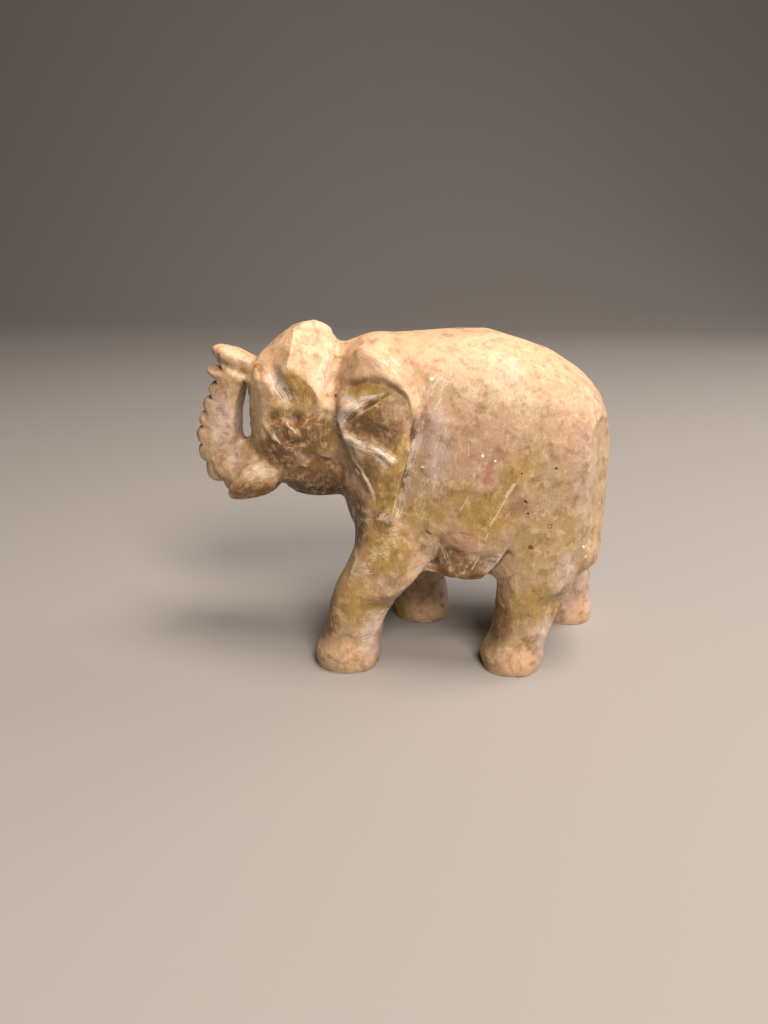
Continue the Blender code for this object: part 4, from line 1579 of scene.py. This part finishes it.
@dataclass(frozen=True)
class Soapstone:
    """Soapstone, hand filed and then waxed.

    The eye sees a cloudy stone of cream, rose and olive with a soft waxy sheen, darker brown in
    the hollows, umber laid on as painted shade at jaw, chest and eye sockets, and pale dry streaks
    where the file went last.
    """

    ground: str = "#b09471"
    layers: tuple[Layer, ...] = (
        Layer("cream", "cloud", 1.2, 0.75, 1.35, 0.90, "#d8af8b"),
        Layer("rose", "cloud_two", 1.2, 0.80, 1.45, 0.75, "#b68f76"),
        Layer("olive", "cloud", 1.4, 0.85, 1.45, 0.90, "#a4823a"),
        Layer("lilac", "cloud_two", 1.2, 0.80, 1.40, 0.80, "#bba59c"),
        Layer("brown", "cloud_two", 1.3, 0.85, 1.45, 0.95, "#6f4b15"),
        # Umber is painted shade, laid into the colour at jaw, chest and eye sockets.
        Layer("painted_shade", "mottle", 0.8, 0.70, 1.30, 0.90, "#3a2208"),
        Layer("", "mottle", 1.0, 0.47, 0.68, 0.60, "#7a5228"),
        Layer("", "mottle_two", 1.0, 0.50, 0.70, 0.55, "#dcc09a"),
        Layer("", "blotch", 1.0, 0.57, 0.70, 0.40, "#a3674c"),
        Layer("", "crumb", 1.0, 0.42, 0.74, 0.24, "#5f4023"),
        Layer("", "crumb_two", 1.0, 0.48, 0.80, 0.24, "#ecdcc4"),
        Layer("", "polish", 1.0, 0.52, 0.76, 0.18, "#e6d8c4"),
        Layer("hollow", "crumb", 0.10, 0.07, 0.36, 0.80, "#4b3015"),
        Layer("edge", "mottle", 0.06, 0.05, 0.14, 0.50, "#e6cfac"),
        Layer("raw", "streak", 1.3, 1.20, 2.00, 0.40, "#cdbda4"),
        Layer("raw", "hair", 1.8, 1.46, 1.95, 0.90, "#f3e9da"),
        Layer("raw", "hair_two", 1.5, 1.36, 1.80, 0.50, "#75583a"),
        Layer("pit", "crumb", 0.5, 0.45, 0.75, 0.95, "#532b14"),
        Layer("rust", "crumb", 0.6, 0.35, 0.80, 0.90, "#6d3318"),
        Layer("ring", "crumb", 0.4, 0.35, 0.60, 0.80, "#7a4424"),
        Layer("heart", "crumb", 0.3, 0.30, 0.50, 0.90, "#c09a70"),
        Layer("stain", "mottle", 1.2, 0.60, 1.50, 0.60, "#9c5c46"),
        Layer("fleck", "crumb", 0.5, 0.45, 0.75, 0.95, "#f3ebdd"),
        Layer("scratch", "crumb", 0.9, 0.55, 1.05, 0.70, "#e6d6b4"),
    )
    patterns: tuple[tuple[str, Pattern], ...] = (
        ("cloud", Pattern((5.5, 5.5, 5.5), 5.0, 0.62, 0.4, 0.4)),
        ("cloud_two", Pattern((4.2, 4.2, 4.2), 5.0, 0.66, 0.4, 1.3)),
        ("mottle", Pattern((1.9, 1.9, 1.9), 5.0, 0.66, 0.1, 2.1)),
        ("mottle_two", Pattern((1.5, 1.5, 1.5), 5.0, 0.68, 0.1, 0.9)),
        ("blotch", Pattern((3.0, 3.0, 3.0), 6.0, 0.70, 0.3, 2.9)),
        ("crumb", Pattern((0.50, 0.50, 0.50), 4.0, 0.75, 0.0, 1.7)),
        ("crumb_two", Pattern((0.42, 0.42, 0.42), 4.0, 0.75, 0.0, 0.2)),
        ("polish", Pattern((0.22, 0.22, 2.4), 2.0, 0.6, 0.0, 0.0)),
    )
    strokes: tuple[tuple[str, Pattern], ...] = (
        ("streak", Pattern((2.6, 0.34, 1.0), 3.0, 0.62)),
        ("hair", Pattern((2.6, 0.11, 1.0), 2.0, 0.6)),
        ("hair_two", Pattern((2.0, 0.10, 1.0), 2.0, 0.6)),
    )
    relief_mm: tuple[tuple[str, str, float], ...] = (
        ("", "mottle", 0.08),
        ("", "crumb", 0.022),
        ("", "crumb_two", 0.022),
        ("", "polish", 0.012),
        ("raw", "streak", 0.07),
        ("raw", "hair", 0.035),
        ("pit", "", -0.20),
        ("rust", "", -0.12),
        ("ring", "", -0.05),
        ("scratch", "", -0.06),
        ("fleck", "", 0.04),
    )
    marks: tuple[Mark, ...] = (
        Mark("pit", 0.34, (22.4, 34.2)),
        Mark("pit", 0.17, (17.6, 33.5)),
        Mark("pit", 0.26, (18.3, 29.4), (18.6, 29.2)),
        Mark("pit", 0.23, (18.9, 27.4)),
        Mark("rust", 0.44, (19.6, 22.1), (19.7, 22.1)),
        Mark("ring", 0.50, (22.2, 25.5)),
        Mark("heart", 0.26, (22.2, 25.5)),
        Mark("stain", 0.50, (25.7, 29.9), (25.5, 28.4)),
        Mark("pit", 0.30, (-9.7, 42.8)),
        Mark("rust", 0.26, (4.3, 24.1), (4.8, 23.7)),
        Mark("stain", 0.85, (13.4, 35.2), (12.5, 32.2)),
        Mark("stain", 0.42, (9.4, 24.3), (10.9, 24.0)),
        Mark("stain", 0.55, (8.2, 23.2), (9.0, 22.4)),
        Mark("stain", 0.14, (8.6, 20.4), (8.3, 18.2)),
        Mark("fleck", 0.32, (12.0, 36.0)),
        Mark("fleck", 0.24, (13.8, 35.3)),
        Mark("fleck", 0.36, (4.5, 46.3)),
        Mark("fleck", 0.30, (3.5, 34.0)),
        Mark("fleck", 0.22, (-6.4, 32.6), (-6.0, 32.0)),
        Mark("fleck", 0.24, (27.5, 21.9), (27.7, 21.6)),
        Mark("fleck", 0.24, (28.2, 20.0)),
        Mark("scratch", 0.15, (16.8, 32.1), (13.8, 26.0)),
        Mark("scratch", 0.26, (16.5, 32.0), (15.6, 30.2)),
        Mark("scratch", 0.12, (10.3, 29.9), (9.1, 27.7)),
        Mark("scratch", 0.10, (16.4, 27.8), (15.7, 26.6)),
        Mark("scratch", 0.12, (13.4, 24.4), (12.9, 23.3)),
        Mark("scratch", 0.10, (10.0, 37.6), (10.1, 36.0)),
        Mark("scratch", 0.12, (6.6, 21.4), (7.2, 19.4)),
        Mark("scratch", 0.12, (12.2, 20.4), (11.2, 18.0)),
    )
    ragged_mm: float = 0.12
    ragged_scale: float = 1.6
    ragged_detail: float = 2.0
    left_from_mm: float = -3.0
    turn_axis: Triple = (0.3, 0.8, 0.5)
    patchy: tuple[float, ...] = (0.36, 0.56, 0.70, 1.10)
    waxed_roughness: tuple[float, ...] = (0.35, 0.65, 0.42, 0.60)
    raw_roughness: float = 0.34
    wax: tuple[tuple[str, float | Triple], ...] = (
        ("IOR", 1.54),
        ("Subsurface Weight", 0.10),
        ("Subsurface Radius", (1.0, 0.6, 0.3)),
        ("Subsurface Scale", 0.0009),
        ("Coat Weight", 0.10),
        ("Coat Roughness", 0.30),
    )

    def near_mark(self) -> bpy.types.NodeTree:
        """Makes the group that measures how near a point of the surface is to a mark.

        Returns:
            A group with inputs Place, Start, End and Radius and the output Near, which is 1 on
            the mark's middle line and 0 at its radius and beyond.
        """
        group = bpy.data.node_groups.new("near a mark", "ShaderNodeTree")
        face = group.interface
        for name in ("Place", "Start", "End"):
            face.new_socket(name, in_out="INPUT", socket_type="NodeSocketVector")
        face.new_socket("Radius", in_out="INPUT", socket_type="NodeSocketFloat")
        face.new_socket("Near", in_out="OUTPUT", socket_type="NodeSocketFloat")
        graph = Graph(group)
        given = graph.tree.nodes.new("NodeGroupInput").outputs
        run = graph.add("VectorMath.SUBTRACT", {0: given["End"], 1: given["Start"]})
        offset = graph.add("VectorMath.SUBTRACT", {0: given["Place"], 1: given["Start"]})
        run_run = graph.add("VectorMath.DOT_PRODUCT", {0: run, 1: run})
        some = graph.add("Math.MAXIMUM", {0: run_run, 1: 1e-4})
        dot = graph.add("VectorMath.DOT_PRODUCT", {0: offset, 1: run})
        share = graph.add("Math.DIVIDE", {0: dot, 1: some}, use_clamp=True)
        foot = graph.add("VectorMath.SCALE", {0: run, "Scale": share})
        away = graph.add("VectorMath.DISTANCE", {0: offset, 1: foot})
        ratio = graph.add("Math.DIVIDE", {0: away, 1: given["Radius"]})
        near = graph.add("Math.SUBTRACT", {0: 1.0, 1: ratio}, use_clamp=True)
        graph.tree.links.new(near, graph.tree.nodes.new("NodeGroupOutput").inputs["Near"])
        return group

    def material(self, unit: float, shift: Triple) -> bpy.types.Material:
        """Makes the finish.

        Args:
            unit: Metres in one pattern millimetre.
            shift: What was added to a pattern point before it was scaled.

        Returns:
            The material, named for the stone.
        """
        material = bpy.data.materials.new("soapstone, hand filed and waxed")
        material.use_nodes = True
        material.node_tree.nodes.clear()
        graph = Graph(material.node_tree)
        place = graph.add("TexCoord", output="Object")
        back = {"Vector": place, "Scale": (1 / unit,) * 3, "Location": [-s for s in shift]}
        pattern = graph.add("Mapping", back)
        noise = self.noises(graph, pattern)
        looks = {
            name: graph.add("Attribute", attribute_name=name, output="Fac")
            for name in ("raw", "hollow", "edge", *Stone.CLOUDS)
        }
        patchy = graph.add("MapRange", dict(enumerate((noise["mottle_two"], *self.patchy))))
        looks["raw"] = graph.add("Math.MULTIPLY", {0: looks["raw"], 1: patchy}, use_clamp=True)
        looks.update(self.near_marks(graph, pattern))
        shader = graph.add("BsdfPrincipled", {
            "Base Color": self.colour(graph, noise, looks),
            "Roughness": self.roughness(graph, noise, looks),
            "Normal": self.relief(graph, noise, looks)}, output=None)
        for name, value in self.wax:
            shader.inputs[name].default_value = value
        graph.add("OutputMaterial", {"Surface": shader.outputs["BSDF"]}, output=None)
        return material

    def colour(self, graph: Graph, noise: dict, looks: dict) -> bpy.types.NodeSocket:
        """Lays the colours over each other, each broken up by its noise.

        Args:
            graph: The material's nodes.
            noise: Noise outputs by name.
            looks: Looks of the surface by name.

        Returns:
            The colour of the stone.
        """
        colour = linear(self.ground)
        for layer in self.layers:
            broken = graph.add("Math.MULTIPLY_ADD", {
                0: noise[layer.pattern], 1: layer.by, 2: looks.get(layer.look, 0.0)})
            cover = graph.add("MapRange", {
                0: broken, 1: layer.start, 2: layer.full, 4: layer.strength},
                interpolation_type="SMOOTHSTEP")
            colour = graph.add("Mix", {0: cover, 6: colour, 7: linear(layer.colour)},
                               data_type="RGBA", output=2)
        return colour

    def roughness(self, graph: Graph, noise: dict, looks: dict) -> bpy.types.NodeSocket:
        """Makes waxed stone smoother in clouds, and raw stone rougher in streaks.

        Args:
            graph: The material's nodes.
            noise: Noise outputs by name.
            looks: Looks of the surface by name.

        Returns:
            The roughness of the stone.
        """
        waxed = graph.add("MapRange", dict(enumerate((noise["mottle"], *self.waxed_roughness))))
        filed = graph.add("Math.MULTIPLY", {0: looks["raw"], 1: noise["streak"]})
        return graph.add("Math.MULTIPLY_ADD", {0: filed, 1: self.raw_roughness, 2: waxed})

    def noises(self, graph: Graph, pattern: bpy.types.NodeSocket) -> dict:
        """Adds the stone's noises, and those of the file's strokes along the stored grain.

        Args:
            graph: The material's nodes.
            pattern: Place in pattern millimetres.

        Returns:
            Noise outputs by name, each about 0.5 on average.
        """
        grain = graph.add("Attribute", attribute_name="grain", output="Vector")
        made = {}
        for source, patterns in ((pattern, self.patterns), (grain, self.strokes)):
            for name, noise in patterns:
                turned = graph.add("VectorRotate", {
                    "Vector": source, "Axis": self.turn_axis, "Angle": noise.turn})
                scaled = graph.add("Mapping", {
                    "Vector": turned, "Scale": [1.0 / size for size in noise.size]})
                made[name] = graph.add("TexNoise", {
                    "Vector": scaled, "Scale": 1.0, "Detail": noise.detail,
                    "Roughness": noise.rough, "Distortion": noise.warp})
        return made

    def near_marks(self, graph: Graph, pattern: bpy.types.NodeSocket) -> dict:
        """Measures how near each point of the left side is to its pits and scratches.

        Args:
            graph: The material's nodes.
            pattern: Place in pattern millimetres.

        Returns:
            Nearness to the nearest mark, by kind.
        """
        group = self.near_mark()
        shake = graph.add("TexNoise", {
            "Vector": pattern, "Scale": self.ragged_scale, "Detail": self.ragged_detail},
            output="Color")
        centred = graph.add("VectorMath.SUBTRACT", {0: shake, 1: (0.5, 0.5, 0.5)})
        ragged = graph.add("VectorMath.MULTIPLY_ADD", {
            0: centred, 1: (self.ragged_mm * 2,) * 3, 2: pattern})
        parts = graph.add("SeparateXYZ", {0: ragged}, output=None).outputs
        flat = graph.add("CombineXYZ", {"X": parts["X"], "Z": parts["Z"]})
        left = graph.add("Math.LESS_THAN", {0: parts["Y"], 1: self.left_from_mm})
        nearest = {}
        for mark in self.marks:
            (x0, z0), (x1, z1) = mark.start, mark.end or mark.start
            near = graph.add("Group", {
                "Place": flat, "Start": (x0, 0.0, z0), "End": (x1, 0.0, z1),
                "Radius": mark.radius}, node_tree=group)
            if mark.kind in nearest:
                near = graph.add("Math.MAXIMUM", {0: nearest[mark.kind], 1: near})
            nearest[mark.kind] = near
        return {kind: graph.add("Math.MULTIPLY", {0: near, 1: left})
                for kind, near in nearest.items()}

    def relief(self, graph: Graph, noise: dict, looks: dict) -> bpy.types.NodeSocket:
        """Raises grain and file marks and sinks pits, by heights in millimetres.

        Args:
            graph: The material's nodes.
            noise: Noise outputs by name.
            looks: Looks of the surface by name.

        Returns:
            The normal of the fine relief.
        """
        height = 0.0
        for look, pattern, deep in self.relief_mm:
            both = graph.add("Math.MULTIPLY", {
                0: looks.get(look, 1.0), 1: noise.get(pattern, 1.0)})
            height = graph.add("Math.MULTIPLY_ADD", {0: both, 1: deep, 2: height})
        return graph.add("Bump", {"Height": height, "Strength": 1.0, "Distance": 0.001})


@dataclass
class Elephant:
    """The whole figure, carved from one stone."""

    torso: Torso = field(default_factory=Torso)
    head: Head = field(default_factory=Head)
    legs: Legs = field(default_factory=Legs)
    trunk: Trunk = field(default_factory=Trunk)
    tail: Tail = field(default_factory=Tail)
    ear: Ear = field(default_factory=Ear)
    tusk: Tusk = field(default_factory=Tusk)
    eye: Eye = field(default_factory=Eye)
    finish: Soapstone = field(default_factory=Soapstone)
    rough_grain: float = 0.62
    middle_grain: float = 0.42
    fine_grain: float = FINE_GRAIN
    fillet_rounds: int = 12
    polish_rounds: int = 5
    last_polish: int = 1
    triangles: int = 194000
    swell_height: float = 0.07
    swell_wave: float = 5.0
    seed: int = 7

    @property
    def parts(self) -> tuple[Part, ...]:
        """The parts that the tools work on, in the order of the work."""
        return self.torso, self.head, self.legs, self.trunk, self.tusk, self.ear, self.eye

    def block_out(self) -> bpy.types.Mesh:
        """Fuses the rough masses of body, head and legs, and softens them into each other.

        Returns:
            The rough skin.
        """
        bm = bmesh.new()
        for part in (self.torso, self.head, self.legs):
            part.add(bm)
        masses = object_of("masses", bm)
        self.fuse(masses, self.rough_grain)
        return polished(evaluated(masses), self.fillet_rounds)

    @staticmethod
    def fuse(obj: bpy.types.Object, grain: float) -> None:
        """Gives the object a modifier that fuses its shells.

        Args:
            obj: The object.
            grain: Width of the new faces.
        """
        remesh = obj.modifiers.new("fuse", "REMESH")
        remesh.mode = "VOXEL"
        remesh.voxel_size = grain

    def add_fine_masses(self, mesh: bpy.types.Mesh) -> bpy.types.Mesh:
        """Adds trunk, tail, ears, tusks and eyes, and cuts the slit through.

        Args:
            mesh: The rough skin.

        Returns:
            The skin at its finest grain.
        """
        bm = bmesh.new()
        bm.from_mesh(mesh)
        self.torso.add_slab(bm)
        for part in (self.trunk, self.tail, self.ear, self.tusk, self.eye):
            part.add(bm)
        stone = object_of("stone", bm)
        self.fuse(stone, self.middle_grain)
        cutter = self.trunk.slit_cutter()
        slit = stone.modifiers.new("slit", "BOOLEAN")
        slit.operation = "DIFFERENCE"
        slit.solver = "EXACT"
        slit.object = cutter
        self.fuse(stone, self.fine_grain)
        mesh = polished(evaluated(stone), self.polish_rounds)
        bpy.data.objects.remove(cutter)
        return mesh

    def carve(self, mesh: bpy.types.Mesh) -> None:
        """Makes every cut and flat of every part.

        Args:
            mesh: The skin, which is changed.
        """
        stone = Stone(mesh)
        for part in self.parts:
            for flat in part.flats:
                stone.file_flat(flat)
        stone.write_points()
        stone.soften(self.ear.front)
        stone.soften(self.torso.under)
        stone.undulate(self.swell_height, self.swell_wave, self.seed)
        self.trunk.notch(stone)
        stone.write_points()
        for part in self.parts:
            for cut in part.cuts:
                if cut.depth:
                    stone.cut(cut)
            stone.write_points()
        for seed, part in enumerate(self.parts, self.seed):
            for facets in part.facets:
                stone.facet(facets, seed)
                stone.write_points()
        for soft in (self.torso.groin, *self.legs.rubbed):
            stone.soften(soft)

    @staticmethod
    def stand(mesh: bpy.types.Mesh) -> None:
        """Cuts the soles flat on the floor.

        Args:
            mesh: The skin, which is changed.
        """
        bm = bmesh.new()
        bm.from_mesh(mesh)
        geometry = bm.verts[:] + bm.edges[:] + bm.faces[:]
        cut = bmesh.ops.bisect_plane(
            bm, geom=geometry, plane_co=(0, 0, 0), plane_no=(0, 0, 1), clear_inner=True,
            dist=1e-5,
        )
        rims = [item for item in cut["geom_cut"] if isinstance(item, bmesh.types.BMEdge)]
        bmesh.ops.holes_fill(bm, edges=rims)
        bmesh.ops.triangulate(bm, faces=bm.faces)
        bm.to_mesh(mesh)
        bm.free()

    def thin_out(self, mesh: bpy.types.Mesh) -> bpy.types.Mesh:
        """Takes triangles away where the stone is plain.

        Args:
            mesh: The finished skin.

        Returns:
            The skin in as many triangles as wanted.
        """
        total = sum(len(face.vertices) - 2 for face in mesh.polygons)
        obj = bpy.data.objects.new("thinning", mesh)
        bpy.context.scene.collection.objects.link(obj)
        thin = obj.modifiers.new("thin", "DECIMATE")
        thin.ratio = min(1.0, self.triangles / total)
        thin.use_collapse_triangulate = True
        return evaluated(obj)

    def colour_in(self, mesh: bpy.types.Mesh) -> None:
        """Stores on the mesh where raw stone shows and which colours lie where.

        Args:
            mesh: The thinned skin.
        """
        stone = Stone(mesh)
        for part in self.parts:
            for cut in part.cuts:
                if cut.raw:
                    stone.leave_raw(cut)
            for flat in part.flats:
                if flat.raw:
                    stone.leave_flat_raw(flat)
            for patch in part.patches:
                stone.rub(patch)
            for cloud in part.clouds:
                stone.tint(cloud)
        stone.keep_looks()

    def place(self, mesh: bpy.types.Mesh) -> tuple[float, Triple]:
        """Fits the pattern to the solid's own box.

        Args:
            mesh: The finished pattern, in millimetres.

        Returns:
            Metres in one pattern millimetre, and what was added to each point before that.
        """
        low, high = (np.array(corner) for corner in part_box(NODE))
        stone = Stone(mesh)
        own_low, own_high = stone.points.min(axis=0), stone.points.max(axis=0)
        unit = (high[0] - low[0]) / (own_high[0] - own_low[0])
        middle = (own_low + own_high) / 2
        goal = (low + high) / 2 / unit
        shift = np.array((goal[0] - middle[0], goal[1] - middle[1], low[2] / unit - own_low[2]))
        stone.points = (stone.points + shift) * unit
        stone.write_points()
        return float(unit), tuple(float(s) for s in shift)

    def build(self) -> bpy.types.Object:
        """Carves and dresses the figure, and puts it in the solid's place.

        Returns:
            The dressed object.
        """
        mesh = self.add_fine_masses(self.block_out())
        log.info("masses: %d faces", len(mesh.polygons))
        self.carve(mesh)
        log.info("carved")
        mesh = polished(mesh, self.last_polish)
        self.stand(mesh)
        mesh = self.thin_out(mesh)
        log.info("thinned: %d triangles", len(mesh.polygons))
        self.colour_in(mesh)
        log.info("coloured")
        unit, shift = self.place(mesh)
        mesh.name = "soapstone_elephant"
        mesh.shade_smooth()
        mesh.materials.clear()
        mesh.materials.append(self.finish.material(unit, shift))
        obj = bpy.data.objects.new("soapstone_elephant", mesh)
        bpy.context.scene.collection.objects.link(obj)
        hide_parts(NODE)
        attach(obj, "root")
        log.info("placed: 1 pattern mm is %.5f mm", unit * 1000)
        return obj


@dataclass
class Viewpoint:
    """The camera of the photograph, found from the figure itself."""

    azimuth: float = math.radians(4.0)
    pitch: float = math.radians(20.0)
    lens_mm: float = 27.03
    sensor_mm: float = 36.0
    eye: Triple = (0.00475, -0.11644, 0.06458)
    nearest: float = 0.005
    furthest: float = 10.0

    def build(self) -> None:
        """Adds the camera."""
        data = bpy.data.cameras.new("camera")
        data.sensor_width = self.sensor_mm
        data.lens = self.lens_mm
        data.clip_start = self.nearest
        data.clip_end = self.furthest
        camera = bpy.data.objects.new("camera", data)
        camera.location = self.eye
        camera.rotation_euler = (math.pi / 2 - self.pitch, 0.0, self.azimuth)
        bpy.context.scene.collection.objects.link(camera)
        bpy.context.scene.camera = camera
        bpy.context.scene.view_settings.view_transform = "Standard"


@dataclass
class Lamp:
    """One soft box: where it hangs, its size and its power."""

    name: str
    place: Triple
    size: float
    watts: float
    colour: str

    def build(self, target: Vector) -> None:
        """Adds the lamp, turned to the target.

        Args:
            target: What it shines at.
        """
        data = bpy.data.lights.new(self.name, "AREA")
        data.shape = "SQUARE"
        data.size = self.size
        data.energy = self.watts
        data.color = linear(self.colour)[:3]
        lamp = bpy.data.objects.new(self.name, data)
        lamp.location = self.place
        lamp.rotation_euler = (target - Vector(self.place)).to_track_quat("-Z", "Y").to_euler()
        bpy.context.scene.collection.objects.link(lamp)


@dataclass
class Studio:
    """A pale floor that sweeps up behind, and soft light that comes mostly from above."""

    half_width: float = 1.2
    front: float = -0.9
    bend: float = 0.45
    bend_radius: float = 0.35
    height: float = 1.4
    paper: str = "#928f8d"
    paper_roughness: float = 0.85
    ambient: str = "#f4efe8"
    ambient_strength: float = 0.09
    target: Triple = (0.0, 0.0, 0.025)
    lamps: tuple[Lamp, ...] = (
        Lamp("key", (0.13, -0.03, 0.45), 0.18, 2.15, "#fff2e6"),
        Lamp("fill", (0.15, -0.36, 0.40), 0.22, 3.4, "#fff0e2"),
        Lamp("rim", (0.40, 0.16, 0.20), 0.20, 0.9, "#fff6ee"),
    )

    def build(self) -> None:
        """Adds the sweep, the lamps and the ambient light."""
        bm = bmesh.new()
        profile = [(self.front, 0.0), (self.bend, 0.0)]
        for angle in np.radians(np.arange(10.0, 91.0, 10.0)):
            profile.append((self.bend + self.bend_radius * math.sin(angle),
                            self.bend_radius * (1.0 - math.cos(angle))))
        profile.append((self.bend + self.bend_radius, self.height))
        verts = [bm.verts.new((-self.half_width, y, z)) for y, z in profile]
        edges = [bm.edges.new(pair) for pair in zip(verts, verts[1:])]
        grown = bmesh.ops.extrude_edge_only(bm, edges=edges)["geom"]
        moved = [item for item in grown if isinstance(item, bmesh.types.BMVert)]
        bmesh.ops.translate(bm, verts=moved, vec=(2 * self.half_width, 0.0, 0.0))
        sweep = object_of("sweep", bm)
        if sweep.data.polygons[0].normal.z < 0.0:
            sweep.data.flip_normals()
        sweep.data.shade_smooth()
        sweep.data.materials.append(self.paper_material())
        for lamp in self.lamps:
            lamp.build(Vector(self.target))
        world = bpy.data.worlds.new("studio")
        world.use_nodes = True
        background = world.node_tree.nodes["Background"]
        background.inputs["Color"].default_value = linear(self.ambient)
        background.inputs["Strength"].default_value = self.ambient_strength
        bpy.context.scene.world = world

    def paper_material(self) -> bpy.types.Material:
        """Makes the matt paper of the sweep: plain, pale and without a pattern.

        Returns:
            The material, named for the paper.
        """
        material = bpy.data.materials.new("matt backdrop paper")
        material.use_nodes = True
        shader = material.node_tree.nodes["Principled BSDF"]
        shader.inputs["Base Color"].default_value = linear(self.paper)
        shader.inputs["Roughness"].default_value = self.paper_roughness
        return material


def main() -> None:
    """Builds the camera, the studio and the figure, and reports each."""
    logging.basicConfig(level=logging.INFO, format="%(relativeCreated)6d ms %(message)s")
    Viewpoint().build()
    log.info("camera")
    Studio().build()
    log.info("studio")
    elephant = Elephant().build()
    log.info("%s: %d triangles", elephant.name, len(elephant.data.polygons))


if __name__ == "__main__":
    main()
